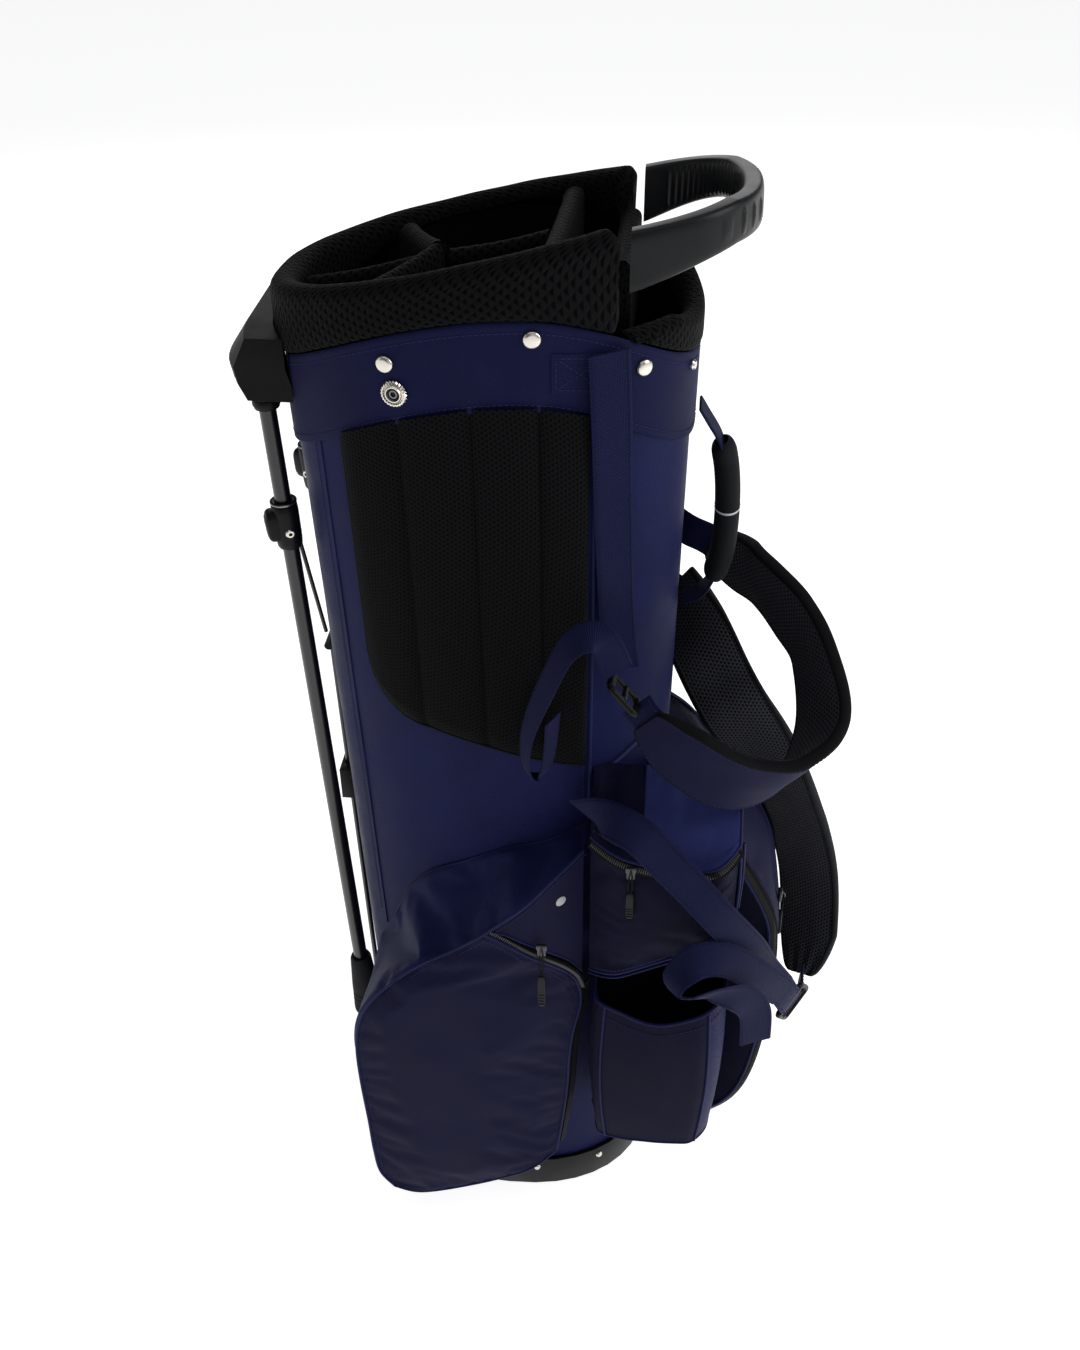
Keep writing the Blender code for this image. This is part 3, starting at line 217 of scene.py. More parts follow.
def finish_with(tree, face, height, depth, colour=None, roughness=None):
    bump = node(tree, "ShaderNodeBump", {"Height": height, "Distance": depth, "Strength": 1.0})
    tree.links.new(bump.outputs["Normal"], face.inputs["Normal"])
    if colour is not None:
        tree.links.new(colour, face.inputs["Base Color"])
    if roughness is not None:
        tree.links.new(roughness, face.inputs["Roughness"])


def cloth_coordinates(tree):
    return node(tree, "ShaderNodeUVMap", uv_map="cloth").outputs["UV"]


def object_coordinates(tree):
    return node(tree, "ShaderNodeTexCoord").outputs["Object"]


def twill(name, dark, light, roughness, pitch=0.0015, depth=0.00012):
    """Coated twill: fine diagonal ribs over a plain weave, with soft cloudiness."""
    made, tree, face = shader(name, dark, roughness, sheen=0.03, specular=0.05)
    face.inputs["Sheen Tint"].default_value = (0.55, 0.62, 1.0, 1)
    place = cloth_coordinates(tree)
    ribs = waves(tree, place, (0.77, 0.64, 0), pitch)
    cross = waves(tree, place, (-0.64, 0.77, 0), pitch * 0.62)
    weave = maths(tree, "ADD", ribs, maths(tree, "MULTIPLY", cross, 0.35))
    cloud = speckle(tree, object_coordinates(tree), 26.0)
    mottled = maths(tree, "ADD", maths(tree, "MULTIPLY", ribs, 0.30), ramp(tree, cloud, 0.30, 0.75))
    colour = mix_colour(tree, ramp(tree, mottled, 0.0, 1.3), dark, light)
    rough = node(
        tree, "ShaderNodeMapRange",
        {
            "Value": cloud, "From Min": 0.3, "From Max": 0.7, "To Min": roughness - 0.05,
            "To Max": roughness + 0.08,
        },
    ).outputs["Result"]
    finish_with(tree, face, weave, depth, colour, rough)
    return made


def ribbed(name, dark, light, pitch=0.0013, depth=0.00025):
    """Webbing: ribs across the strap, crossed by fine warp threads."""
    made, tree, face = shader(name, dark, 0.62, sheen=0.04, specular=0.06)
    face.inputs["Sheen Tint"].default_value = (0.6, 0.66, 1.0, 1)
    place = cloth_coordinates(tree)
    ribs = waves(tree, place, (0, 1, 0), pitch)
    warp = waves(tree, place, (1, 0, 0), pitch * 0.8)
    height = maths(tree, "ADD", ribs, maths(tree, "MULTIPLY", warp, 0.45))
    colour = mix_colour(tree, ramp(tree, height, 0.2, 1.4), dark, light)
    finish_with(tree, face, height, depth, colour)
    return made


def air_mesh(name, dark, light, pitch, depth):
    """Spacer mesh: a honeycomb of open cells between rounded knitted ridges, with painted shade in the cells
    and a painted highlight on the ridges.
    """
    made, tree, face = shader(name, dark, 0.72, sheen=0.02, specular=0.035)
    place = cloth_coordinates(tree)
    turned = [(math.cos(math.radians(a)), math.sin(math.radians(a)) * 0.86, 0) for a in (0, 60, 120)]
    cells = [waves(tree, place, direction, pitch * 0.866) for direction in turned]
    total = maths(tree, "ADD", maths(tree, "ADD", cells[0], cells[1]), cells[2])
    ridge = ramp(tree, total, 2.35, 1.35)
    knit = waves(tree, place, (0.5, 0.86, 0), 0.0009)
    height = maths(tree, "ADD", ridge, maths(tree, "MULTIPLY", knit, 0.12))
    # The cells' dark colour is painted shade inside them and the ridges' lighter colour is a painted
    # highlight.
    colour = mix_colour(tree, ridge, dark, light)
    finish_with(tree, face, height, depth, colour)
    return made


def moulded(name, dark, light, roughness, grain=900.0, depth=0.00010, specular=0.16):
    """Moulded plastic with a fine eroded grain and slightly polished, worn patches."""
    made, tree, face = shader(name, dark, roughness, specular=specular)
    place = object_coordinates(tree)
    fine = speckle(tree, place, grain, 2.0)
    broad = speckle(tree, place, 18.0, 4.0)
    colour = mix_colour(tree, ramp(tree, broad, 0.35, 0.70), dark, light)
    rough = node(
        tree, "ShaderNodeMapRange",
        {
            "Value": broad, "From Min": 0.3, "From Max": 0.7, "To Min": roughness + 0.08,
            "To Max": roughness - 0.07,
        },
    ).outputs["Result"]
    finish_with(tree, face, fine, depth, colour, rough)
    return made


def metal(name, colour, roughness):
    made, tree, face = shader(name, colour, roughness, metallic=1.0)
    place = object_coordinates(tree)
    stretched = node(tree, "ShaderNodeMapping", {"Vector": place, "Scale": (1, 1, 0.06)}).outputs["Vector"]
    lines = speckle(tree, stretched, 1600.0, 2.0)
    rough = node(
        tree, "ShaderNodeMapRange", {"Value": speckle(tree, place, 120.0), "From Min": 0.3, "From Max": 0.7,
                                     "To Min": roughness * 0.8, "To Max": roughness * 1.3},
    ).outputs["Result"]
    finish_with(tree, face, lines, SCRATCH_DEPTH, None, rough)
    return made


def enamel(name, colour, roughness, coat=0.6):
    """Gloss paint with faint orange peel and rubbed streaks along the tube."""
    made, tree, face = shader(name, colour, roughness, coat=coat)
    place = object_coordinates(tree)
    streaks = node(tree, "ShaderNodeMapping", {"Vector": place, "Scale": (1, 1, 0.05)}).outputs["Vector"]
    rub = speckle(tree, streaks, 260.0)
    warm = tuple(c * 1.9 + 0.004 for c in colour)
    tone = mix_colour(tree, ramp(tree, rub, 0.45, 0.75), colour, warm)
    finish_with(tree, face, speckle(tree, place, 700.0, 1.0), 0.00003, tone)
    return made


NAVY_DARK, NAVY_LIGHT = (0.0070, 0.0086, 0.047), (0.0110, 0.0140, 0.070)
navy = twill("navy_twill", NAVY_DARK, NAVY_LIGHT, 0.52)
navy_smooth = twill("navy_smooth", NAVY_DARK, NAVY_LIGHT, 0.46, pitch=0.0009, depth=0.00004)
navy_soft = twill(
    "navy_soft", (0.0062, 0.0064, 0.0270), (0.0095, 0.0098, 0.038), 0.60, pitch=0.0011, depth=0.00007,
)
# Darker copy of the navy twill for panels that lie in shade: its colour is painted shade.
navy_painted_shade = twill(
    "navy_painted_shade", (0.0034, 0.0036, 0.0160), (0.0052, 0.0055, 0.0225), 0.60, pitch=0.0011, depth=0.00007,
)
collar_cloth = twill("collar_cloth", (0.0058, 0.0066, 0.0340), (0.0090, 0.0106, 0.0520), 0.55, pitch=0.0010)
piping_cloth = twill(
    "piping_cloth", (0.010, 0.013, 0.055), (0.018, 0.022, 0.085), 0.45, pitch=0.0008, depth=0.00005,
)
webbing = ribbed("navy_webbing", (0.0050, 0.0060, 0.030), (0.0110, 0.0134, 0.058))
thread = ribbed("navy_thread", (0.020, 0.024, 0.085), (0.034, 0.040, 0.130), pitch=0.0006, depth=0.0001)
# For the spacer meshes, the first colour is the painted shade in the cells and the second the ridges' painted
# highlight.
mesh_coarse = air_mesh(
    "air_mesh_coarse", (0.0002, 0.0002, 0.0002), (0.0052, 0.0054, 0.0062), pitch=0.0048, depth=0.0011,
)
mesh_fine = air_mesh(
    "air_mesh_fine", (0.0006, 0.0006, 0.0007), (0.0050, 0.0052, 0.0060), pitch=0.0030, depth=0.0004,
)
# Much brighter copy of the spacer mesh for the straps' lining: its colour is painted light.
strap_mesh = air_mesh(
    "strap_mesh", (0.0022, 0.0022, 0.0026), (0.0380, 0.0390, 0.0460), pitch=0.0030, depth=0.0004,
)
binding = ribbed(
    "black_binding", (0.0015, 0.0015, 0.0018), (0.0050, 0.0050, 0.0058), pitch=0.0010, depth=0.00015,
)
lining = twill("lining", (0.0028, 0.0030, 0.0045), (0.0050, 0.0052, 0.0075), 0.80, pitch=0.0010)
# Darker copy of the lining for the inside of the drink pouch: its colour is painted shade.
pouch_lining_painted_shade = twill("pouch_lining_painted_shade", (0.0008, 0.0008, 0.0011), (0.0016, 0.0016, 0.0022), 0.85, pitch=0.0010)
# Brighter copy of the navy twill for the upward face of the valuables lid: its colour is painted light.
lid_cloth_painted_light = twill("lid_cloth_painted_light", (0.0180, 0.0230, 0.100), (0.0280, 0.0360, 0.145), 0.50, pitch=0.0010)
piping_pale = twill(
    "piping_pale", (0.030, 0.036, 0.100), (0.045, 0.055, 0.140), 0.45, pitch=0.0008, depth=0.00005,
)
grey_plastic = moulded("satin_grey", (0.0050, 0.0056, 0.0066), (0.0090, 0.0098, 0.0112), 0.36,
                       depth=0.00006, specular=0.20)
black_plastic = moulded("moulded_black", (0.0026, 0.0027, 0.0030), (0.0055, 0.0057, 0.0063), 0.42)
foam = moulded(
    "foam_grip", (0.0050, 0.0058, 0.0075), (0.0085, 0.0095, 0.0120), 0.80, grain=1500.0, depth=0.0002,
)
rubber = moulded("shoe_rubber", (0.0140, 0.0145, 0.0155), (0.0300, 0.0305, 0.0320), 0.75, grain=600.0)
tube_paint = enamel("leg_enamel", (0.0022, 0.0018, 0.0017), 0.30, 0.25)
wire_paint = enamel("wire_enamel", (0.0050, 0.0050, 0.0050), 0.38, 0.3)
nickel = metal("nickel", (0.72, 0.68, 0.62), 0.22)
steel = metal("steel", (0.50, 0.50, 0.50), 0.32)
housing_black = moulded(
    "housing_black", (0.0024, 0.0025, 0.0028), (0.0046, 0.0048, 0.0054), 0.50, specular=0.10,
)
zip_metal = enamel("zip_metal", (0.0060, 0.0060, 0.0065), 0.33, 0.3)
zip_coil = ribbed("zip_coil", (0.0022, 0.0022, 0.0025), (0.0120, 0.0120, 0.0130), pitch=0.0016, depth=0.0005)
zip_tape = ribbed("zip_tape", (0.0030, 0.0030, 0.0036), (0.0075, 0.0075, 0.0085), pitch=0.0009, depth=0.0001)
steel_dark = metal("steel_dark", (0.22, 0.23, 0.24), 0.38)
stitch_grey = ribbed("stitch_grey", (0.012, 0.014, 0.020), (0.030, 0.034, 0.046), pitch=0.0006, depth=0.0001)
band_white = moulded("band_white", (0.50, 0.51, 0.53), (0.58, 0.59, 0.61), 0.5)


# ---------------------------------------------------------------- shapes shared with the CAD model
def section(z, grow=0.0):
    down = min(max((TOP_Z - z) / TOP_Z, 0.0), 1.0)
    half_length = TOP_HALF_LENGTH + down * (BASE_HALF_LENGTH - TOP_HALF_LENGTH)
    half_width = TOP_HALF_WIDTH + down * (BASE_HALF_WIDTH - TOP_HALF_WIDTH)
    return BASE_SHIFT * down, half_length + grow, half_width + grow


def oval(turn, z, grow=0.0):
    centre, half_length, half_width = section(z, grow)
    c, s = math.cos(turn), math.sin(turn)
    x = math.copysign(abs(c) ** (2 / OVAL_POWER), c)
    y = math.copysign(abs(s) ** (2 / OVAL_POWER), s)
    return np.array((centre + half_length * x, half_width * y, z))


def turn_at_x(x, z, grow=0.0):
    low, high = 0.0, math.pi
    for _ in range(40):
        middle = (low + high) / 2
        if oval(middle, z, grow)[0] > x:
            low = middle
        else:
            high = middle
    return low


def seat(x, z, grow, side=-1):
    """Point on the sleeve's side wall at x and z, and the wall's outward direction there."""
    turn = side * turn_at_x(x, z, grow)
    along = oval(turn + 0.02, z, grow) - oval(turn - 0.02, z, grow)
    out = np.array((along[1], -along[0], 0.0))
    return oval(turn, z, grow), out / np.linalg.norm(out)


def base_line(x):
    return max(0.0, (BEVEL_LINE_X - x) * BEVEL_SLOPE)


def band_top(x):
    return 0.844 - (2.2 if x < BAND_PEAK_X else 4.7) * (x - BAND_PEAK_X) ** 2


def band_bottom(x):
    return 0.787 - (2.4 if x < BAND_PEAK_X else 5.0) * (x - BAND_PEAK_X) ** 2


def cuff_top(x, y=0.0):
    """Height of the cuff's rim, which tilts up to the spine and to the pad side."""
    return CUFF_MID_Z + CUFF_SLOPE * x + CUFF_RISE - CUFF_CROSS_SLOPE * y


def full_turns(count):
    return [2 * math.pi * i / count for i in range(count + 1)]


# ---------------------------------------------------------------- mesh building
def surface_uv(points):
    """Arc lengths along rows and columns, in metres, so that a weave keeps its real size."""
    across = np.zeros(points.shape[:2])
    across[:, 1:] = np.cumsum(np.linalg.norm(np.diff(points, axis=1), axis=2), axis=1)
    across -= across[:, -1:] / 2
    along = np.zeros(points.shape[:2])
    along[1:, :] = np.cumsum(np.linalg.norm(np.diff(points, axis=0), axis=2), axis=0)
    return np.stack((across, np.broadcast_to(along.mean(axis=1, keepdims=True), along.shape)), axis=2)


def piece_of(name, patches, weld=0.00002, smooth_angle=50):
    """One mesh from grids of points. Each patch is (points, material); seams between patches are welded."""
    vertices, faces, uvs, slots, finishes = [], [], [], [], []
    for points, finish in patches:
        points = np.asarray(points, float)
        rows, columns = points.shape[:2]
        uv = surface_uv(points)
        start = len(vertices)
        vertices += points.reshape(-1, 3).tolist()
        if finish not in finishes:
            finishes.append(finish)
        for i in range(rows - 1):
            for j in range(columns - 1):
                corners = ((i, j), (i, j + 1), (i + 1, j + 1), (i + 1, j))
                faces.append([start + a * columns + b for a, b in corners])
                uvs += [tuple(uv[a, b]) for a, b in corners]
                slots.append(finishes.index(finish))
    mesh = bpy.data.meshes.new(name)
    mesh.from_pydata(vertices, [], faces)
    layer = mesh.uv_layers.new(name="cloth")
    layer.data.foreach_set("uv", np.array(uvs, np.float32).ravel())
    mesh.polygons.foreach_set("material_index", slots)
    for finish in finishes:
        mesh.materials.append(finish)
    if weld:
        work = bmesh.new()
        work.from_mesh(mesh)
        bmesh.ops.remove_doubles(work, verts=work.verts, dist=weld)
        bmesh.ops.dissolve_degenerate(work, edges=work.edges, dist=weld / 4)
        bmesh.ops.recalc_face_normals(work, faces=work.faces)
        work.to_mesh(mesh)
        work.free()
    mesh.shade_smooth()
    mesh.set_sharp_from_angle(angle=math.radians(smooth_angle))
    made = bpy.data.objects.new(name, mesh)
    scene.collection.objects.link(made)
    return made


def place_on(piece, body, slot_name, *replaced):
    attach(piece, body)
    if replaced:
        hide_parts(*replaced)
    return piece


def spline(points, step=0.003):
    """Catmull-Rom through the points, with a point about every step."""
    points = [np.asarray(p, float) for p in points]
    last = len(points) - 1
    found = []
    for i in range(last):
        p0, p1, p2, p3 = (points[min(max(i + k, 0), last)] for k in (-1, 0, 1, 2))
        parts = max(2, int(np.linalg.norm(p2 - p1) / step))
        for k in range(parts):
            t = k / parts
            found.append(0.5 * (
                2 * p1 + (p2 - p0) * t + (2 * p0 - 5 * p1 + 4 * p2 - p3) * t * t
                + (3 * p1 - p0 - 3 * p2 + p3) * t ** 3
            ))
    found.append(points[-1])
    return np.array(found)


def arc_lengths(path):
    """Distance along a polyline of each of its points."""
    return np.concatenate(([0.0], np.cumsum(np.linalg.norm(np.diff(path, axis=0), axis=1))))


def sampled(rows, lengths, places):
    """Rows of numbers known at the given lengths, read at other places."""
    return np.stack([np.interp(places, lengths, rows[:, k]) for k in range(rows.shape[1])], axis=1)


def spaced(rows, step, least=2):
    """The same polyline with even steps. The first three values of a row are its place."""
    rows = np.asarray(rows, float)
    lengths = arc_lengths(rows[:, :3])
    places = np.linspace(0, lengths[-1], max(least, int(lengths[-1] / step)))
    return sampled(rows, lengths, places)


def frames_along(path):
    """Tangents and two steady side directions along a path."""
    tangents = np.gradient(path, axis=0)
    tangents /= np.maximum(np.linalg.norm(tangents, axis=1, keepdims=True), 1e-9)
    start = np.array((0.0, 0.0, 1.0)) if abs(tangents[0][2]) < 0.9 else np.array((1.0, 0.0, 0.0))
    side = np.cross(tangents[0], start)
    sides = []
    for t in tangents:
        side = side - t * side.dot(t)
        side = side / np.linalg.norm(side)
        sides.append(side)
    sides = np.array(sides)
    return tangents, sides, np.cross(tangents, sides)


def tube_grid(path, radius, sides=8):
    """Grid of a round tube. radius is a number or one for each point; its ends are drawn to a point."""
    path = np.asarray(path, float)
    radii = np.broadcast_to(np.asarray(radius, float), (len(path),))
    _, u, v = frames_along(path)
    turns = np.linspace(0, 2 * math.pi, sides + 1)
    ring = np.cos(turns)[None, :, None] * u[:, None, :] + np.sin(turns)[None, :, None] * v[:, None, :]
    grid = path[:, None, :] + ring * radii[:, None, None]
    first = np.broadcast_to(path[0], (1, sides + 1, 3))
    last = np.broadcast_to(path[-1], (1, sides + 1, 3))
    return np.concatenate((first, grid, last), axis=0)


def tube(name, path, radius, finish, sides=8):
    return piece_of(name, [(tube_grid(path, radius, sides), finish)])


def stitches(name, path, outward, finish=None):
    """A row of short thread loops along a path, each dipping into the cloth at its ends."""
    path, outward = np.asarray(path, float), np.asarray(outward, float)
    outward = np.broadcast_to(outward, path.shape)
    lengths = arc_lengths(path)
    spacing = STITCH_LENGTH + STITCH_GAP
    patches = []
    at = spacing / 2
    while at + STITCH_LENGTH < lengths[-1]:
        places = np.linspace(at, at + STITCH_LENGTH, 4)
        line, lift = sampled(path, lengths, places), sampled(outward, lengths, places)
        rise = np.array((-0.6, 0.9, 0.9, -0.6))[:, None] * THREAD_RADIUS
        patches.append((tube_grid(line + lift * rise, THREAD_RADIUS, 5), finish or thread))
        at += spacing
    return piece_of(name, patches, weld=0.000005)


def lathe(name, profile, place, axis, finish, sides=32):
    """A turned shape: profile is (radius, height) from the axis out, along the axis from place."""
    axis = Vector(axis).normalized()
    turn = axis.to_track_quat("Z", "Y").to_matrix()
    grid = []
    for radius, height in profile:
        row = []
        for a in np.linspace(0, 2 * math.pi, sides + 1):
            local = Vector((radius * math.cos(a), radius * math.sin(a), height))
            row.append(Vector(place) + turn @ local)
        grid.append(row)
    return piece_of(name, [(np.array(grid), finish)], smooth_angle=35)


def join(pieces, name):
    """One object of several pieces that share a body."""
    work = bmesh.new()
    finishes = []
    for piece in pieces:
        shift = []
        for finish in piece.data.materials:
            if finish not in finishes:
                finishes.append(finish)
            shift.append(finishes.index(finish))
        before = len(work.faces)
        work.from_mesh(piece.data)
        work.faces.ensure_lookup_table()
        for face in work.faces[before:]:
            face.material_index = shift[face.material_index]
    mesh = bpy.data.meshes.new(name)
    work.to_mesh(mesh)
    work.free()
    for finish in finishes:
        mesh.materials.append(finish)
    for piece in pieces:
        bpy.data.objects.remove(piece)
    made = bpy.data.objects.new(name, mesh)
    scene.collection.objects.link(made)
    return made


def rumple(piece, amount, scale, keep=None, seed=0.0):
    """Moves the surface along its normals by smooth noise. keep(point) gives 0 to 1, how free a point is."""
    for vertex in piece.data.vertices:
        free = 1.0 if keep is None else keep(vertex.co)
        shift = noise.noise(vertex.co * scale + Vector((seed, seed * 0.7, -seed)))
        vertex.co += vertex.normal * (amount * shift * free)


def puff(piece, is_seam, pressure, slack, cap):
    """Cloth under light pressure from inside, held at its seams. The result is applied to the mesh."""
    held = piece.vertex_groups.new(name="seams")
    held.add([v.index for v in piece.data.vertices if is_seam(v.co)], 1.0, "REPLACE")
    modifier = piece.modifiers.new("cloth", "CLOTH")
    cloth = modifier.settings
    cloth.quality = 6
    cloth.mass = 0.3
    cloth.tension_stiffness = 20
    cloth.compression_stiffness = 12
    cloth.shear_stiffness = 8
    cloth.bending_stiffness = 0.8
    cloth.use_pressure = True
    cloth.uniform_pressure_force = pressure
    cloth.shrink_min = -slack
    cloth.vertex_group_mass = "seams"
    cloth.effector_weights.gravity = 0
    modifier.collision_settings.use_collision = False
    modifier.point_cache.frame_start = 1
    modifier.point_cache.frame_end = CLOTH_STEPS
    for step in range(1, CLOTH_STEPS + 1):
        scene.frame_set(step)
    moved = piece.evaluated_get(bpy.context.evaluated_depsgraph_get())
    places = [v.co.copy() for v in moved.data.vertices]
    for vertex, place in zip(piece.data.vertices, places):
        shift = place - vertex.co
        if shift.length > cap:
            shift *= cap / shift.length
        vertex.co += shift
    piece.modifiers.remove(modifier)
    piece.vertex_groups.remove(held)
    scene.frame_set(1)


set_camera()
set_studio()


# ---------------------------------------------------------------- sleeve, collar and base
SEAM_TURN_LEG = -turn_at_x(-0.098, 0.6)
BODY_COLUMNS = 144


def body_shell():
    """The club sleeve: twill outside, plain lining inside, rolled over at the top under the collar."""
    turns = full_turns(BODY_COLUMNS)
    outer = []
    for k in range(64):
        share = k / 63
        row = []
        for turn in turns:
            x = oval(turn, TOP_Z)[0]
            low, high = base_line(x) + 0.021, band_top(x) - 0.008
            z = low + (high - low) * share
            ripple = 0.0006 * noise.noise(Vector((turn * 1.6, z * 3.0, 0.0)))
            ripple += 0.0003 * noise.noise(Vector((turn * 4.0, z * 14.0, 5.0)))
            row.append(oval(turn, z, -0.0002 + min(ripple, 0.0002)))
        outer.append(row)
    inner = []
    for k in range(12):
        share = k / 11
        row = []
        for turn in turns:
            x = oval(turn, TOP_Z)[0]
            low, high = base_line(x) + 0.021, band_top(x) - 0.008
            row.append(oval(turn, high + (low - high) * share, -0.0019))
        inner.append(row)
    leg_first = round((2 * math.pi + SEAM_TURN_LEG) / (2 * math.pi) * BODY_COLUMNS)
    leg_last = BODY_COLUMNS - leg_first
    low_column, high_column = min(leg_first, leg_last), max(leg_first, leg_last)
    outer = np.array(outer)
    inner = np.array(inner)
    patches = [
        (outer[:, :low_column + 1], navy),
        (outer[:, low_column:high_column + 1], navy_smooth),
        (outer[:, high_column:], navy),
        (inner, lining),
    ]
    patches.append((np.stack((outer[-1], inner[0])), navy))
    patches.append((np.stack((inner[-1], outer[0])), navy))
    return place_on(piece_of("body_shell", patches), "bag", "navy_fabric", "sleeve")


def wall_line(turn, z_low, z_high, grow):
    return np.array([oval(turn, z, grow) for z in np.linspace(z_low, z_high, 60)])


def body_seams():
    """Piped seams down the sleeve, each with a stitched line beside it."""
    made = []
    for label, x in (
        ("spine_right", 0.0755), ("spine_left", 0.0755), ("leg_right", -0.098), ("leg_left", -0.098),
    ):
        side = -1 if label.endswith("right") else 1
        is_spine = label.startswith("spine")
        turn = side * turn_at_x(x, 0.6)
        low = 0.45 if is_spine else 0.30
        line = wall_line(turn, low, band_bottom(x) - 0.002, 0.0008 if is_spine else 0.0002)
        made.append(tube(f"seam_{label}", line, 0.0013 if is_spine else 0.0006, piping_cloth))
        shifted = side * turn_at_x(x - 0.0045, 0.6)
        row = wall_line(shifted, low + 0.01, band_bottom(x) - 0.006, 0.0001)
        out = row - np.array([0.0, 0.0, 1.0]) * row[:, 2:3]
        out /= np.linalg.norm(out, axis=1, keepdims=True)
        made.append(stitches(f"seam_stitch_{label}", row, out))
    return place_on(join(made, "body_seams"), "bag", "navy_fabric")


def swept_band(profile, turns, low, high, cross=0.0):
    """Grid over the oval. profile rows are (grow, share from low to high, offset in z)."""
    grid = []
    for grow, share, offset in profile:
        row = []
        for turn in turns:
            x, y, _ = oval(turn, TOP_Z)
            z = low(x) + (high(x) - cross * y - low(x)) * share + offset
            row.append(oval(turn, z, grow))
        grid.append(row)
    return np.array(grid)


def collar():
    """Folded collar band: hemmed edges, stitched top and bottom."""
    out = 0.0029
    profile = [(0.0005, 0, 0.001), (0.0012, 0, -0.0003), (out - 0.0004, 0, -0.0003), (out, 0, 0.0006)]
    profile += [(out - 0.0003, 0, 0.0045), (out - 0.0001, 0, 0.008)]
    profile += [(out, share, 0.0) for share in (0.3, 0.45, 0.6, 0.75)]
    profile += [(out - 0.0001, 1, -0.0085), (out - 0.0003, 1, -0.0065), (out + 0.0001, 1, -0.004)]
    profile += [(out, 1, -0.0008), (out - 0.0008, 1, 0.0001), (0.0012, 1, 0.0), (0.0005, 1, -0.001)]
    turns = full_turns(BODY_COLUMNS)
    grid = swept_band(profile, turns, band_bottom, band_top)
    inner = swept_band([(0.0005, 1, -0.001), (0.0005, 0, 0.001)], turns, band_bottom, band_top)
    band = piece_of("collar_shell", [(grid, collar_cloth), (inner, collar_cloth)])
    made = [band]
    for level, drop in ((band_top, -0.0066), (band_bottom, 0.0046)):
        line = np.array([oval(t, level(oval(t, TOP_Z)[0]) + drop, out - 0.0002) for t in full_turns(260)])
        made.append(stitches(f"collar_stitch_{level.__name__}", line, outward_of(line)))
    return place_on(join(made, "collar_fabric"), "bag", "navy_fabric", "collar_band")


def outward_of(line):
    """Horizontal directions away from the sleeve's axis along a line on its wall."""
    out = line * np.array((1.0, 1.6, 0.0))
    return out / np.linalg.norm(out, axis=1, keepdims=True)


def collar_patch():
    """Box of crossed stitches that holds the strap's webbing to the collar, and its folded patch."""
    made = []
    lows, highs = (0.050, 0.0835), (0.7985, 0.8240)
    grow = 0.0036

    def on_wall(u, v):
        x = lows[0] + (lows[1] - lows[0]) * u
        z = highs[0] + (highs[1] - highs[0]) * v - 0.10 * (x - lows[0])
        return seat(x, z, grow)[0]

    cells = np.linspace(0, 1, 10)
    face = np.array([[on_wall(u, v) for u in cells] for v in cells])
    back = face - outward_of(face.reshape(-1, 3)).reshape(face.shape) * 0.0012
    grid = np.concatenate((back[:1], face, back[-1:]))
    made.append(piece_of("patch_cloth", [(grid, webbing)]))
    corners = (
        (0.08, 0.1), (0.92, 0.1), (0.92, 0.9), (0.08, 0.9), (0.08, 0.1), (0.92, 0.9), (0.92, 0.1),
        (0.08, 0.9),
    )
    for k in range(7):
        (u0, v0), (u1, v1) = corners[k], corners[k + 1]
        line = np.array([on_wall(u0 + (u1 - u0) * t, v0 + (v1 - v0) * t) for t in np.linspace(0, 1, 16)])
        made.append(stitches(f"patch_stitch_{k}", line, outward_of(line)))
    return place_on(join(made, "collar_patch"), "bag", "navy_webbing")


def inner_collar():
    """Moulded frame under the padded top, seen only from inside."""
    nodes["cuff_frame"].data.materials.clear()
    nodes["cuff_frame"].data.materials.append(black_plastic)


def pad_profile(out, wide):
    """Rounded section of a padded rim: (grow, share, offset) rows round its crown."""
    half = wide / 2
    middle = out - half
    rows = [
        (middle - half * 0.80, 0, 0.0005), (middle + half * 0.80, 0, 0.0005),
        (middle + half * 0.98, 0, 0.0030),
    ]
    rows += [(middle + half * 1.00, share, -0.6 * half * share) for share in (0.30, 0.55, 0.80)]
    for a in np.linspace(0, 180, 15):
        angle = math.radians(a)
        rows.append((middle + half * math.cos(angle), 1, -half * 0.95 + half * 0.95 * math.sin(angle)))
    rows += [(middle - half * 1.00, share, -0.6 * half * share) for share in (0.80, 0.55, 0.30)]
    rows.append((middle - half * 0.98, 0, 0.0030))
    rows.append((middle - half * 0.80, 0, 0.0005))
    return rows


def round_ends(grid, reach, distance):
    """Draws the grid's columns together towards both ends, so that a padded rim closes in a round nose."""
    grid = grid.copy()
    middle = grid.mean(axis=0)
    steps = arc_lengths(middle)
    for j in range(grid.shape[1]):
        edge = min(steps[j], steps[-1] - steps[j])
        if edge < reach:
            share = math.sqrt(max(0.0, 1 - (1 - edge / reach) ** 2))
            share = max(share, 0.02 if distance else 0.0)
            grid[:, j] = middle[j] + (grid[:, j] - middle[j]) * share
    return grid


def cuff():
    """Padded rim of spacer mesh, open on the spine side where the handle enters."""
    end = turn_at_x(CUFF_END_X, TOP_Z, CUFF_GROW)
    turns = np.linspace(end, 2 * math.pi - end, 180)
    grid = swept_band(pad_profile(CUFF_GROW, CUFF_WALL), turns, lambda x: band_top(x) + 0.001, cuff_top,
                      CUFF_CROSS_SLOPE)
    piece = piece_of("cuff_mesh", [(round_ends(grid, 0.007, True), mesh_coarse)])
    rumple(piece, 0.0006, 34.0)
    place_on(piece, "bag", "air_mesh", "cuff_pad")


def well_top(x):
    share = min(max((x - CUFF_END_X - 0.004) / 0.026, 0.0), 1.0)
    return band_top(x) + 0.006 + 0.018 * share


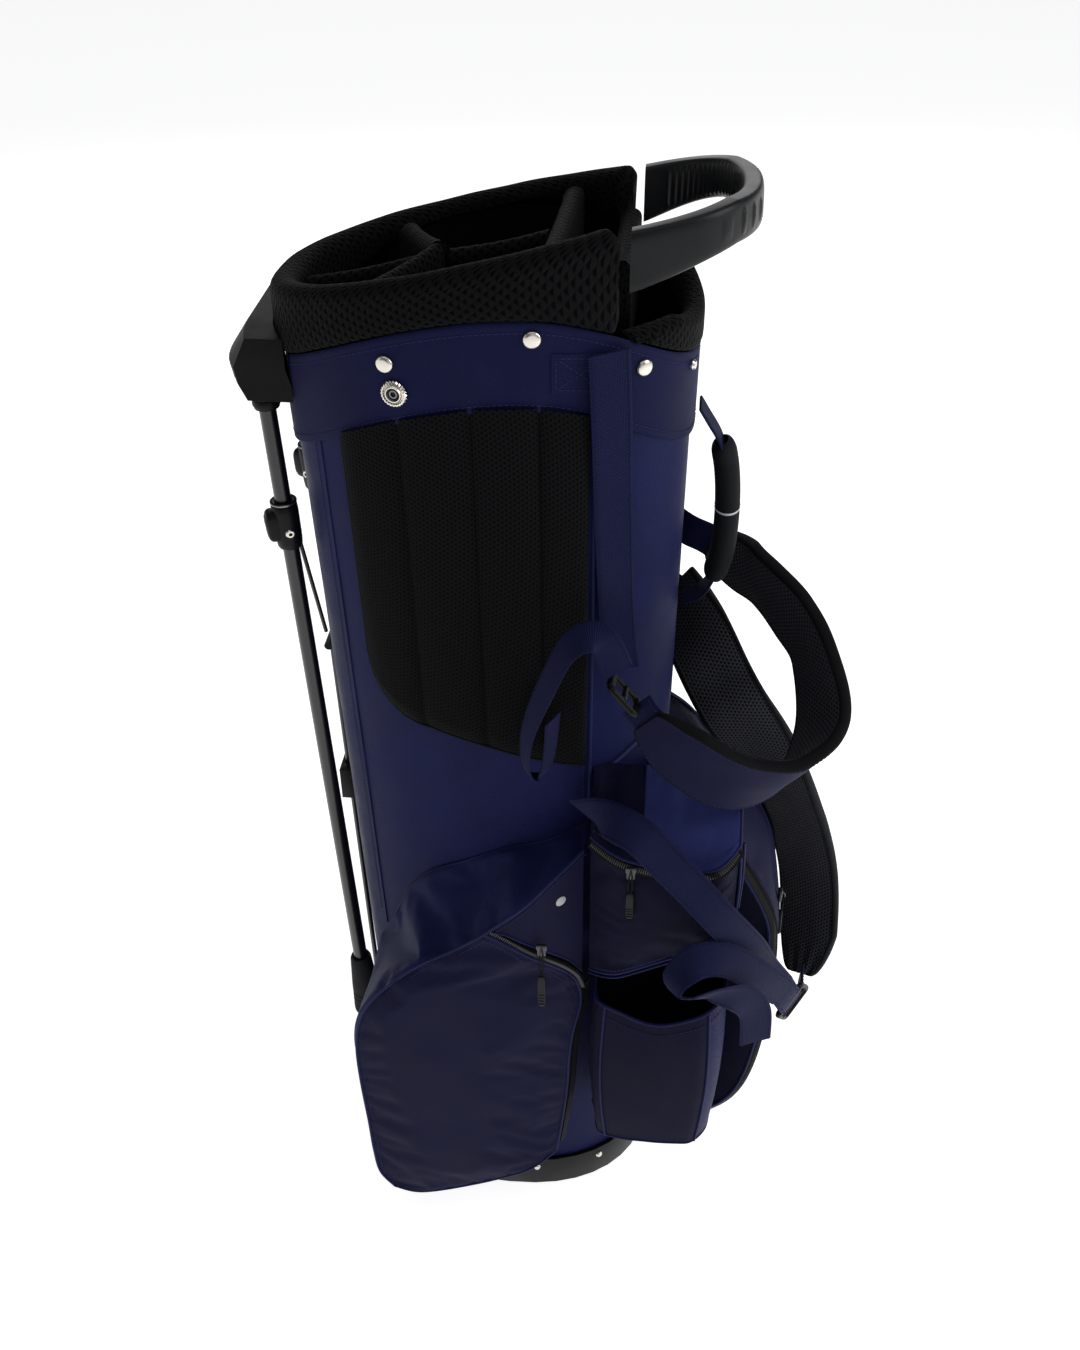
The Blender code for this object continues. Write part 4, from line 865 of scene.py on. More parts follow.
def well_rim():
    """Low padded rim round the putter well."""
    end = turn_at_x(CUFF_END_X, TOP_Z, CUFF_GROW) - math.radians(2)
    turns = np.linspace(-end, end, 70)
    grid = swept_band(pad_profile(CUFF_GROW - 0.001, 0.014), turns, lambda x: band_top(x) + 0.001, well_top)
    piece = piece_of("putter_well_mesh", [(round_ends(grid, 0.006, True), mesh_coarse)])
    place_on(piece, "bag", "air_mesh", "putter_well_rim")


def divider(name, start, end, drop, flares, node_name):
    """Padded bar with a round crown. flares says at which ends it widens into its neighbour."""
    start, end = np.array(start, float), np.array(end, float)
    length = np.linalg.norm(end - start)
    along = (end - start) / length
    across = np.array((-along[1], along[0]))
    half, depth = DIVIDER_WIDTH / 2, 0.070
    columns = np.linspace(0, 1, 40)
    section_rows = [(1.0, -depth), (1.0, -depth * 0.6), (1.0, -depth * 0.3)]
    for a in np.linspace(0, 180, 13):
        section_rows.append((math.cos(math.radians(a)), -half + half * math.sin(math.radians(a))))
    section_rows += [(-1.0, -depth * 0.3), (-1.0, -depth * 0.6), (-1.0, -depth), (1.0, -depth)]
    grid = []
    for wide, down in section_rows:
        row = []
        for t in columns:
            spread = 0.86
            for at, flared in ((0.0, flares[0]), (1.0, flares[1])):
                if flared:
                    spread += 0.14 * math.exp(-((abs(t - at) * length / 0.010) ** 2))
            sag = 0.0015 * math.sin(math.pi * t)
            place = start + along * (t * length) + across * (wide * half * spread)
            row.append((place[0], place[1], cuff_top(*place) - drop - sag + down))
        grid.append(row)
    grid = np.array(grid)
    caps = [grid[:, :1], grid[:, -1:]]
    first = np.broadcast_to(caps[0].mean(axis=0), caps[0].shape)
    last = np.broadcast_to(caps[1].mean(axis=0), caps[1].shape)
    grid = np.concatenate((first, grid, last), axis=1)
    piece = piece_of(name, [(grid, mesh_coarse)])
    place_on(piece, "bag", "air_mesh", node_name)


def dividers():
    half = DIVIDER_WIDTH / 2
    inner_end = TOP_HALF_LENGTH + CUFF_GROW - CUFF_WALL

    def rim_y(x):
        return oval(turn_at_x(x, TOP_Z, CUFF_GROW - CUFF_WALL), TOP_Z, CUFF_GROW - CUFF_WALL)[1]

    divider("divider_bar_rear", (-inner_end + 0.002, 0), (CHEVRON_X - half * 1.7, 0), 0.0125, (True, False),
            "divider_long_rear")
    divider(
        "divider_bar_middle", (CHEVRON_X + half * 1.15, 0), (CROSS_X - half - 0.0005, 0), 0.0125,
        (False, True), "divider_long_front",
    )
    for label, side in (("left", 1), ("right", -1)):
        far_x = CHEVRON_X - CHEVRON_SWEEP
        far = (far_x, side * (rim_y(far_x - half) - 0.004))
        divider(
            f"divider_bar_{label}", (CHEVRON_X, side * (half * 0.40 + 0.0005)), far, 0.0065, (False, True),
            f"divider_chevron_{label}",
        )
    cross_y = rim_y(CROSS_X) - 0.003
    divider(
        "divider_bar_cross", (CROSS_X, -cross_y), (CROSS_X, cross_y), 0.0065, (True, True), "divider_cross",
    )
    bridge_y = rim_y(BRIDGE_X + half) - 0.001
    divider("divider_bar_bridge", (BRIDGE_X, -bridge_y), (BRIDGE_X, bridge_y), 0.0245, (True, True),
            "divider_bridge")


def liner_panels():
    """Full-length fabric panels between the compartments."""
    low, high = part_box("divider_liners")
    made = []
    for k, (start, end) in enumerate((
        ((-0.098, 0.0), (CROSS_X, 0.0)), ((CROSS_X, -0.078), (CROSS_X, 0.078)),
        ((CHEVRON_X, 0.0), (CHEVRON_X - 0.028, 0.078)), ((CHEVRON_X, 0.0), (CHEVRON_X - 0.028, -0.078)),
    )):
        start, end = np.array(start), np.array(end)
        along = (end - start) / np.linalg.norm(end - start)
        across = np.array((-along[1], along[0])) * 0.0007
        for side in (-1, 1):
            grid = []
            for z in np.linspace(low.z, high.z, 24):
                row = []
                for t in np.linspace(0.01, 0.99, 12):
                    bow = 0.0012 * noise.noise(Vector((t * 2.0, z * 7.0, k * 3.0)))
                    bulge = across / 0.0007 * bow * math.sin(math.pi * t)
                    place = start + (end - start) * t + across * side + bulge
                    row.append((place[0], place[1], z))
                grid.append(row)
            made.append(piece_of(f"liner_{k}_{side}", [(np.array(grid), lining)]))
    piece = place_on(join(made, "liner_fabric"), "bag", "lining", "divider_liners")
    return piece


# ---------------------------------------------------------------- handles
def handle_path(count):
    """Centre line, outward direction and height of the top handle's section, as in the CAD model."""
    root_x = CUFF_END_X + 0.002
    reach, half_gap = 0.163 - root_x, 0.0845
    found = []
    for i in range(count + 1):
        turn = math.pi * (i / count - 0.5)
        c, s = math.cos(turn), math.sin(turn)
        x = root_x + reach * math.copysign(abs(c) ** 0.80, c)
        y = half_gap * math.copysign(abs(s) ** 0.86, s)
        height = 0.025 + 0.012 * (1 - c) ** 2
        z = cuff_top(min(x, 0.15), y) - 0.002 - height / 2
        out = np.array((c * half_gap, s * reach, 0.0))
        found.append((np.array((x, y, z)), out / np.linalg.norm(out), height, turn))
    return found


def handle_relief(turn, v, outside):
    """Depth of moulded details: finger ribs inside the far arm, slots and a round dimple on the near arm."""
    degrees = math.degrees(turn)
    if not outside:
        if 22 < degrees < 80:
            wave = 0.5 + 0.5 * math.cos((degrees - 22) / 58 * 2 * math.pi * 15)
            return -0.0009 * wave * max(0.0, 1 - (abs(v) / 0.42) ** 6)
        return 0.0
    depth = 0.0
    for centre in (-17, -27, -37):
        depth += 0.0013 * math.exp(-((degrees - centre) / 1.5) ** 4) * math.exp(-((v - 0.02) / 0.26) ** 6)
    depth += 0.0010 * math.exp(-((degrees + 49) / 3.0) ** 4) * math.exp(-((v - 0.02) / 0.20) ** 4)
    return -depth


def top_handle():
    """Satin moulded loop with soft edges."""
    path = handle_path(300)
    places = np.array([p for p, _, _, _ in path])
    outs = np.array([o for _, o, _, _ in path])
    outs[0], outs[-1] = (0, -1, 0), (0, 1, 0)
    sections = np.linspace(0, 2 * math.pi, 57)
    width = 0.0135
    grid = []
    for a in sections:
        c, s = math.cos(a), math.sin(a)
        power = 0.42
        u = 0.5 * math.copysign(abs(c) ** power, c)
        v = 0.5 * math.copysign(abs(s) ** (power * 0.9), s)
        row = []
        for k, (_, _, height, turn) in enumerate(path):
            relief = handle_relief(turn, v, u > 0) if abs(u) > 0.42 else 0.0
            place = places[k] + outs[k] * (u * width * (1 - 0.14 * v) + math.copysign(relief, u))
            row.append(place + np.array((0, 0, v * height)))
        grid.append(row)
    grid = np.array(grid)
    first = np.broadcast_to(grid[:, :1].mean(axis=0), grid[:, :1].shape)
    last = np.broadcast_to(grid[:, -1:].mean(axis=0), grid[:, -1:].shape)
    grid = np.concatenate((first, grid, last), axis=1)
    piece = piece_of("handle_moulding", [(grid, grey_plastic)], smooth_angle=60)
    place_on(piece, "bag", "moulded_grey", "top_handle")


GRAB_PATH = [
    (0.1394, 0, 0.7440), (0.1448, 0, 0.7350), (0.1550, 0, 0.7170), (0.1603, 0, 0.6941), (0.1625, 0, 0.6625),
    (0.1612, 0, 0.6294), (0.1554, 0, 0.6078), (0.1476, 0, 0.5942), (0.1358, 0, 0.5880),
]


def grab_handle():
    """Carry handle on the spine: webbing through a round foam grip with a pale band."""
    path = spline(GRAB_PATH, 0.0015)
    across = np.broadcast_to(np.array((0.0, 1.0, 0.0)), path.shape)
    strap = band_grid(path, across, 0.0218, 0.0019)
    web = piece_of("grab_strap", [(strap, webbing)])
    place_on(web, "grab_handle", "navy_webbing", "grab_webbing")
    grip_line = path[(path[:, 2] < 0.7175) & (path[:, 2] > 0.6070)]
    tangents, _, _ = frames_along(grip_line)
    turns = np.linspace(0, 2 * math.pi, 33)
    rows = []
    for k, place in enumerate(grip_line):
        share = k / (len(grip_line) - 1)
        round_end = min(1.0, math.sqrt(max(0.0, 1 - max(0.0, 1 - min(share, 1 - share) / 0.09) ** 2)))
        face = np.cross(tangents[k], (0, 1, 0))
        swell = 0.0088 * (0.55 + 0.45 * round_end)
        rows.append(
            [
                place + face * swell * math.cos(a) + np.array((0, 1, 0)) * 0.0128 * (
                    0.62 + 0.38 * round_end
                ) * math.sin(a)
                for a in turns
            ]
        )
    body = piece_of("grab_foam", [(np.array(rows), foam)])
    middle = int(len(grip_line) * 0.46)
    ring = np.array([
        [grip_line[middle + k] + np.cross(tangents[middle + k], (0, 1, 0)) * 0.0091 * math.cos(a)
         + np.array((0, 1, 0)) * 0.0131 * math.sin(a) for a in turns] for k in (0, 1)
    ])
    label = piece_of("grab_band", [(ring, band_white)])
    grip = place_on(join([body, label], "grab_grip_foam"), "grab_handle", "foam_grip", "grab_grip")


def band_grid(path, across, width, thickness):
    """Closed flat strap about a path, with rounded edges. across is the width's direction at each point."""
    path = np.asarray(path, float)
    across = np.asarray(across, float)
    tangents, _, _ = frames_along(path)
    across = across - tangents * (across * tangents).sum(axis=1, keepdims=True)
    across = across / np.linalg.norm(across, axis=1, keepdims=True)
    face = np.cross(tangents, across)
    width = np.broadcast_to(np.asarray(width, float), (len(path),))
    thickness = np.broadcast_to(np.asarray(thickness, float), (len(path),))
    section_points = [(u, 0.5) for u in np.linspace(-0.46, 0.46, 9)] + [(0.5, 0.2), (0.5, -0.2)]
    section_points += [(u, -0.5) for u in np.linspace(0.46, -0.46, 9)] + [(-0.5, -0.2), (-0.5, 0.2)]
    section_points.append(section_points[0])
    rows = []
    for k in range(len(path)):
        rows.append([
            path[k] + across[k] * (u * width[k]) + face[k] * (v * thickness[k])
            for u, v in section_points
        ])
    grid = np.array(rows)
    first = np.broadcast_to(path[0], (1, grid.shape[1], 3))
    last = np.broadcast_to(path[-1], (1, grid.shape[1], 3))
    return np.concatenate((first, grid, last), axis=0)


body_shell()
body_seams()
collar()
collar_patch()
inner_collar()
cuff()
well_rim()
dividers()
liner_panels()
top_handle()
grab_handle()


# ---------------------------------------------------------------- pocket panels
def resample(points, count):
    """The same open curve with count points at even arc lengths."""
    fine = spline([(*p, 0.0) if len(p) == 2 else p for p in points], 0.0008)
    lengths = arc_lengths(fine)
    return sampled(fine, lengths, np.linspace(0, lengths[-1], count))[:, :len(points[0])]


def coons(bottom, right, top, left, columns, rows):
    """Grid between four edge curves. bottom and top run left to right, left and right run upwards."""
    bottom, top = resample(bottom, columns), resample(top, columns)
    left, right = resample(left, rows), resample(right, rows)
    u = np.linspace(0, 1, columns)[None, :, None]
    v = np.linspace(0, 1, rows)[:, None, None]
    blend = (1 - v) * bottom[None] + v * top[None] + (1 - u) * left[:, None] + u * right[:, None]
    corners = (
        (1 - u) * (1 - v) * bottom[0] + u * (1 - v) * bottom[-1]
        + (1 - u) * v * top[0] + u * v * top[-1]
    )
    return blend - corners


def lifted(grid, depth):
    """Puts a grid of (x, z) at y = depth(x, z)."""
    return np.array([[(x, depth(x, z), z) for x, z in row] for row in grid])


def zip_run(name, path, outward, width=0.013):
    """Zip along a path: woven tapes with a ribbed coil down the middle."""
    path = np.asarray(path, float)
    outward = np.broadcast_to(np.asarray(outward, float), path.shape)
    tangents, _, _ = frames_along(path)
    across = np.cross(tangents, outward)
    across /= np.maximum(np.linalg.norm(across, axis=1, keepdims=True), 1e-9)
    patches = [(band_grid(path, across, width, 0.0008), zip_tape)]
    patches.append((band_grid(path + outward * 0.0009, across, 0.0052, 0.0014), zip_coil))
    return piece_of(name, patches)


def zip_teeth(name, path, outward):
    """Short coil turns across a zip's middle."""
    path = np.asarray(path, float)
    outward = np.broadcast_to(np.asarray(outward, float), path.shape)
    lengths = arc_lengths(path)
    tangents, _, _ = frames_along(path)
    across = np.cross(tangents, outward)
    places = np.arange(TOOTH_PITCH, lengths[-1] - TOOTH_PITCH, TOOTH_PITCH)
    patches = []
    for place, side, out in zip(*(sampled(field, lengths, places) for field in (path, across, outward))):
        line = [
            place + side * t + out * (0.0014 + 0.0004 * (1 - (t / TOOTH_REACH) ** 2))
            for t in (-TOOTH_REACH, 0, TOOTH_REACH)
        ]
        patches.append((tube_grid(line, TOOTH_RADIUS, 5), zip_metal))
    return piece_of(name, patches, weld=0)


# ---------------------------------------------------------------- hip pad
PAD_LEFT_X, PAD_RIGHT_X = -0.084, 0.072
PAD_CHANNELS = (-0.044, 0.001, 0.042)


def pad_bottom(x):
    share = min(max((x - PAD_LEFT_X) / 0.045, 0.0), 1.0)
    return 0.590 - 0.055 * math.sqrt(1 - (1 - share) ** 2) - 0.30 * max(0.0, x + 0.04)


def hip_pad():
    """Quilted back pad: four soft channels of spacer mesh, bound along its lower edge."""
    edges = (PAD_LEFT_X, *PAD_CHANNELS, PAD_RIGHT_X)
    columns, rows = 120, 130
    grid = []
    for i in range(rows):
        v = i / (rows - 1)
        row = []
        for j in range(columns):
            x = PAD_LEFT_X + (PAD_RIGHT_X - PAD_LEFT_X) * j / (columns - 1)
            low, high = pad_bottom(x), band_bottom(x) + 0.003
            z = low + (high - low) * v
            cell = max(k for k in range(4) if x >= edges[k] - 1e-9)
            inside = (x - edges[cell]) / (edges[cell + 1] - edges[cell])
            pillow = max(0.0, 1 - abs(2 * inside - 1) ** 3.2) ** 0.55
            bottom = min(1.0, (z - low) / 0.012) ** 0.5
            wobble = 0.0005 * noise.noise(Vector((x * 30, z * 16, 2.0)))
            height = 0.0008 + (0.0042 + wobble) * pillow * bottom
            turn = -turn_at_x(x, TOP_Z)
            row.append(oval(turn, z, 0.0006 + height))
        grid.append(row)
    quilt = piece_of("hip_quilt", [(np.array(grid), mesh_fine)])
    made = [quilt]
    rim = [
        oval(-turn_at_x(x, TOP_Z), pad_bottom(x), 0.0014) for x in np.linspace(PAD_LEFT_X, PAD_RIGHT_X, 90)
    ]
    made.append(tube("hip_binding", np.array(rim), 0.0014, binding))
    left = [
        oval(-turn_at_x(PAD_LEFT_X, TOP_Z), z, 0.0014)
        for z in np.linspace(pad_bottom(PAD_LEFT_X), 0.757, 50)
    ]
    made.append(tube("hip_binding_left", np.array(left), 0.0012, binding))
    for k, x in enumerate(PAD_CHANNELS):
        line = [
            oval(-turn_at_x(x, TOP_Z), z, 0.0017)
            for z in np.linspace(pad_bottom(x) + 0.004, band_bottom(x), 70)
        ]
        made.append(stitches(f"hip_stitch_{k}", np.array(line), outward_of(np.array(line)), binding))
    piece = place_on(join(made, "hip_padding"), "bag", "air_mesh", "hip_pad")


# ---------------------------------------------------------------- cooler pocket
COOLER_FRONT_Y, COOLER_SEAM_Y, COOLER_RIGHT_X = -0.152, -0.122, 0.0745


def cooler_depth(x, z):
    share = min(max((COOLER_RIGHT_X - x) / 0.050, 0.0), 1.0)
    return COOLER_SEAM_Y + (COOLER_FRONT_Y - COOLER_SEAM_Y) * math.sin(share * math.pi / 2)


DOOR_TOP = [(-0.0716, 0.3157), (-0.0473, 0.3400), (-0.0209, 0.3588), (0.0034, 0.3790)]
ZIP_CURVE = [
    (0.0034, 0.3790), (0.0203, 0.3690), (0.0356, 0.3570), (0.0540, 0.3370), (0.0680, 0.3130),
    (0.0735, 0.2920),
]
DOOR_RIGHT = [
    (0.0560, 0.1045), (0.0600, 0.1370), (0.0640, 0.1790), (0.0657, 0.2200), (0.0685, 0.2480),
    (0.0735, 0.2740), (0.0735, 0.2920),
]
DOOR_LEFT = [(-0.0850, 0.0505), (-0.0965, 0.0700), (-0.1000, 0.1000), (-0.1015, 0.1400), (-0.1042, 0.1950),
             (-0.1042, 0.2370), (-0.0995, 0.2680), (-0.0890, 0.2920), (-0.0716, 0.3157)]
DOOR_BOTTOM = [(-0.0850, 0.0505), (-0.0602, 0.0460), (-0.0115, 0.0655), (0.0400, 0.0940), (0.0560, 0.1045)]
FLAP_EDGE = [(0.0034, 0.3790), (0.0302, 0.4060), (0.0507, 0.4260), (0.0650, 0.4365), (0.0745, 0.4430)]
FLAP_LOW = [
    (0.0034, 0.3790), (0.0180, 0.3790), (0.0330, 0.3700), (0.0480, 0.3560), (0.0640, 0.3350),
    (0.0745, 0.3120),
]
COOLER_SEAT = [(-0.0900, 0.0560), (-0.0975, 0.0850), (-0.0990, 0.1400), (-0.1000, 0.1950), (-0.0985, 0.2400),
               (-0.0923, 0.2840), (-0.0764, 0.3289), (-0.0631, 0.3610), (-0.0439, 0.3881), (-0.0168, 0.4057),
               (0.0155, 0.4226), (0.0465, 0.4308), (0.0745, 0.4430)]
# Depth of the zip's recess behind the door. The flap, the coil and the tape lie at shares of it.
ZIP_RECESS = 0.0045


def panel_edge(curve, count, back=0.0):
    line = resample(curve, count)
    return np.array([(x, cooler_depth(x, z) + back, z) for x, z in line])


def cooler_pocket():
    """Insulated pocket: a door with a piped edge, a fixed corner flap, a curved zip, a deep gusset."""
    top = DOOR_TOP[:-1] + ZIP_CURVE
    door_grid = coons(DOOR_BOTTOM, DOOR_RIGHT, top, DOOR_LEFT, 56, 78)
    door = piece_of("cooler_door", [(lifted(door_grid, cooler_depth), navy_soft)])
    border = boundary_of(door)
    puff(door, border, pressure=2.5, slack=0.012, cap=0.0065)
    rumple(door, 0.0010, 22.0, fade_from(border_points(door), 0.012), seed=3.0)

    flap_grid = coons(
        FLAP_LOW, [(0.0745, 0.3120), (0.0745, 0.4430)], FLAP_EDGE, [(0.0034, 0.3790), (0.0035, 0.3791)], 30,
        30,
    )
    flap = piece_of(
        "cooler_flap", [(lifted(flap_grid, lambda x, z: cooler_depth(x, z) + ZIP_RECESS * 0.35), navy_soft)],
    )

    outer = resample(DOOR_LEFT[:-1] + DOOR_TOP + FLAP_EDGE[1:], 110)
    seat_line = resample(COOLER_SEAT, 110)
    front_edge = np.array([(x, cooler_depth(x, z), z) for x, z in outer])
    back_edge = np.array([seat(x, z, 0.0008)[0] for x, z in seat_line])
    rows = []
    for t in np.linspace(0, 1, 22):
        bulge = math.sin(math.pi * t) * 0.0045
        line = front_edge * (1 - t) + back_edge * t
        normal = np.cross(np.gradient(front_edge, axis=0), back_edge - front_edge)
        normal /= np.maximum(np.linalg.norm(normal, axis=1, keepdims=True), 1e-6)
        fade = np.sin(np.linspace(0, 1, 110) * math.pi).reshape(-1, 1) ** 0.35
        rows.append(line - normal * bulge * fade)
    gusset = piece_of("cooler_gusset", [(np.array(rows), navy)])
    border = boundary_of(gusset)
    puff(gusset, border, pressure=1.2, slack=0.030, cap=0.0060)

    low_front = np.concatenate(
        (
            panel_edge(DOOR_BOTTOM, 60), panel_edge(DOOR_RIGHT, 60)[1:],
            panel_edge(list(reversed([(0.0745, 0.3120), (0.0735, 0.2920)])), 6)[1:],
        )
    )
    low_back = np.array([
        seat(min(x, 0.072), z, 0.0008)[0] for x, _, z in low_front
    ])
    wall = [low_front * (1 - t) + low_back * t for t in np.linspace(0, 1, 14)]
    underside = piece_of("cooler_underside", [(np.array(wall), navy)])

    zip_line = panel_edge(ZIP_CURVE, 50, ZIP_RECESS * 0.55)
    side_line = panel_edge(list(reversed(DOOR_RIGHT)), 60, ZIP_RECESS)
    tape_low = panel_edge(ZIP_CURVE, 50, ZIP_RECESS * 0.9)
    tape_high = panel_edge(FLAP_LOW, 50, ZIP_RECESS * 0.9)
    tape = piece_of(
        "cooler_tape",
        [(np.array([tape_low * (1 - t) + tape_high * t for t in np.linspace(0, 1, 6)]), zip_tape)],
    )
    coil = zip_run("cooler_coil", zip_line + np.array((0.0016, 0.0, 0.0022)), (0, -1, 0), 0.006)
    teeth = zip_teeth("cooler_teeth", zip_line + np.array((0.0016, -0.0002, 0.0022)), (0, -1, 0))
    side_coil = zip_run("cooler_side_zip", side_line + np.array((0.0030, 0.006, 0.0)), (0.8, -0.6, 0), 0.011)
    rim = np.concatenate(
        (panel_edge(DOOR_LEFT, 110)[:-1], panel_edge(DOOR_TOP, 40)[:-1], panel_edge(FLAP_EDGE, 40))
    )
    base_rim = panel_edge(DOOR_BOTTOM, 60)
    zip_rim = np.concatenate((panel_edge(ZIP_CURVE, 60), side_line[1:] - (0, ZIP_RECESS, 0)))
    pipes = [tube(f"cooler_pipe_{k}", spaced(line, 0.003), PIPING_RADIUS, piping_cloth)
             for k, line in enumerate((rim, base_rim, zip_rim))]
    pipes.append(
        tube(
            "cooler_pipe_flap", spaced(panel_edge(FLAP_LOW, 50, ZIP_RECESS * 0.3), 0.003), 0.0008,
            piping_cloth,
        )
    )
    rows_of_thread = []
    for k, (curve, shift) in enumerate(((DOOR_LEFT, (0.0048, 0.0)), (DOOR_TOP, (0.002, -0.0045)),
                                        (ZIP_CURVE, (-0.0034, -0.0036)), (FLAP_EDGE, (0.0026, -0.0042)))):
        line = panel_edge([(x + shift[0], z + shift[1]) for x, z in curve], 80)
        lifted_line = line + np.array((0, -0.0012 if k < 3 else 0.0010, 0))
        rows_of_thread.append(stitches(f"cooler_stitch_{k}", lifted_line, (0, -1, 0)))
    seat_pipe = tube("cooler_seat_pipe", back_edge[8:], 0.0007, piping_cloth)
    badge = cooler_badge()
    whole = join([door, flap, gusset, underside, tape, coil, teeth, side_coil, seat_pipe, badge, *pipes,
                  *rows_of_thread], "cooler_fabric")
    place_on(whole, "bag", "navy_fabric", "cooler_pocket")


def cooler_badge():
    """Plain printed disc with a ring, in place of a mark."""
    x, z = 0.0592, 0.4020
    place = np.array((x, cooler_depth(x, z) + ZIP_RECESS * 0.35 - 0.0003, z))
    tilt = cooler_depth(x + 0.001, z) - cooler_depth(x - 0.001, z)
    out = (tilt / 0.002, -1, 0)
    return lathe(
        "badge", [(0.0, 0.0004), (0.0038, 0.0004), (0.0042, 0.0002), (0.0044, 0.0)], place, out, band_white,
        24,
    )


def border_points(piece):
    work = bmesh.new()
    work.from_mesh(piece.data)
    found = [v.co.copy() for v in work.verts if v.is_boundary]
    work.free()
    return found


def boundary_of(piece):
    """A test for whether a point lies on the piece's open edge."""
    keys = {tuple(round(c, 5) for c in place) for place in border_points(piece)}
    return lambda place: tuple(round(c, 5) for c in place) in keys


def fade_from(edge, reach):
    """0 on the edge, rising to 1 at reach from it."""
    tree = kdtree.KDTree(len(edge))
    for k, place in enumerate(edge):
        tree.insert(place, k)
    tree.balance()
    return lambda place: min(1.0, tree.find(place)[2] / reach)


# ---------------------------------------------------------------- valuables pocket
VALUABLES_LOW = [(0.0800, 0.3180), (0.1030, 0.3290), (0.1261, 0.3418), (0.1487, 0.3549), (0.1707, 0.3700),
                 (0.1870, 0.3820)]
VALUABLES_TOP = [(0.0795, 0.4480), (0.0975, 0.4430), (0.1226, 0.4360), (0.1500, 0.4330), (0.1720, 0.4370),
                 (0.1870, 0.4480)]


def valuables_depth(x, z):
    round_side = min(max((x - 0.165) / 0.022, 0.0), 1.0)
    left = min(max((x - 0.078) / 0.030, 0.0), 1.0)
    return -0.1210 - 0.0150 * math.sin(left * math.pi / 2) + 0.016 * round_side ** 2.2


def valuables_pocket():
    """Pocket above the pouch: a front panel with a piped welt, a zip under its lid and a sloping lid."""
    columns = 44
    front_grid = coons(VALUABLES_LOW, [VALUABLES_LOW[-1], VALUABLES_TOP[-1]], VALUABLES_TOP,
                       [VALUABLES_LOW[0], VALUABLES_TOP[0]], columns, 40)
    # The front panel has the painted shade colour.
    front = piece_of("valuables_front", [(lifted(front_grid, valuables_depth), navy_painted_shade)])
    puff(front, boundary_of(front), pressure=1.8, slack=0.010, cap=0.004)
    rumple(front, 0.0007, 30.0, fade_from(border_points(front), 0.010), seed=8.0)

    lid_front = np.array(
        [(x, valuables_depth(x, z) - 0.0010, z + 0.0100) for x, z in resample(VALUABLES_TOP, columns)]
    )
    rows = []
    for t in np.linspace(0, 1, 22):
        row = []
        for x, y, z in lid_front:
            wall_y = oval(-turn_at_x(min(x, 0.127), 0.49), 0.49, 0.0008)[1]
            back = np.array((x * 0.995, min(wall_y, -0.0850), 0.4970 - 0.35 * max(0.0, x - 0.140)))
            place = np.array((x, y, z)) * (1 - t) + back * t
            place[2] += math.sin(math.pi * t) * 0.0045
            row.append(place)
        rows.append(row)
    rows = np.array(rows)
    # The lid's front strip has the painted shade colour and its upward face the painted light colour.
    lid = piece_of("valuables_lid", [(rows[:, :16], navy_painted_shade), (rows[:, 15:], lid_cloth_painted_light)])
    puff(lid, boundary_of(lid), pressure=0.8, slack=0.012, cap=0.004)

    right_front = np.array(
        [
            (x, valuables_depth(x, z), z)
            for x, z in resample([VALUABLES_LOW[-1], (0.188, 0.415), VALUABLES_TOP[-1]], 24)
        ]
    )
    right_back = np.array([(x - 0.004, -0.0788, z) for x, _, z in right_front])
    side = piece_of("valuables_side", [(np.array([right_front * (1 - t) + right_back * t
                                                  for t in np.linspace(0, 1, 12)]), navy)])
    low_front = np.array([(x, valuables_depth(x, z), z) for x, z in resample(VALUABLES_LOW, columns)])
    low_back = np.array(
        [
            (x, oval(-turn_at_x(min(x, 0.124), z), z, 0.001)[1] * (0.92 if x > 0.12 else 1.0), z + 0.004)
            for x, _, z in low_front
        ]
    )
    floor = piece_of("valuables_floor", [(np.array([low_front * (1 - t) + low_back * t
                                                    for t in np.linspace(0, 1, 8)]), lining)])
    zip_path = np.array(
        [(x, valuables_depth(x, z) - 0.0002, z + 0.0046) for x, z in resample(VALUABLES_TOP, 60)]
    )
    coil = zip_run("valuables_coil", zip_path, (0, -1, 0.25), 0.0095)
    teeth = zip_teeth("valuables_teeth", zip_path, (0, -0.97, 0.24))
    lines = [
        (low_front, PIPING_RADIUS), (low_front + (0, -0.0002, -0.0042), 0.0009),
        (lid_front, PIPING_RADIUS * 0.9),
        (np.array([(x, valuables_depth(x, z), z) for x, z in resample(VALUABLES_TOP, 60)]), 0.0007),
        (right_front + (0.0010, 0.0010, 0), PIPING_RADIUS),
        (right_front + (0.0035, 0.0120, 0), PIPING_RADIUS), (rows[:, -1], PIPING_RADIUS),
    ]
    pipes = [tube(f"valuables_pipe_{k}", spaced(line, 0.003), radius, piping_cloth)
             for k, (line, radius) in enumerate(lines)]
    pipes.append(
        tube("valuables_slant", spaced(rows[:, 15] + (0, -0.0006, 0.0006), 0.003), 0.0012, piping_cloth)
    )
    stripe = np.array(
        [seat(x, z, 0.0010)[0] for x, z in ((0.0788, 0.4866), (0.0958, 0.4962), (0.1126, 0.5070))]
    )
    pipes.append(tube("valuables_stripe", spline(stripe, 0.002), 0.0013, piping_pale))
    threads = [
        stitches("valuables_stitch_low", low_front + (0, -0.0016, 0.0046), (0, -1, 0)),
        stitches("valuables_stitch_lid", rows[2] + (0, -0.0006, 0.0008), (0, -0.6, 0.8)),
    ]
    whole = join([front, lid, side, floor, coil, teeth, *pipes, *threads], "valuables_fabric")
    place_on(whole, "bag", "navy_fabric", "valuables_pocket")


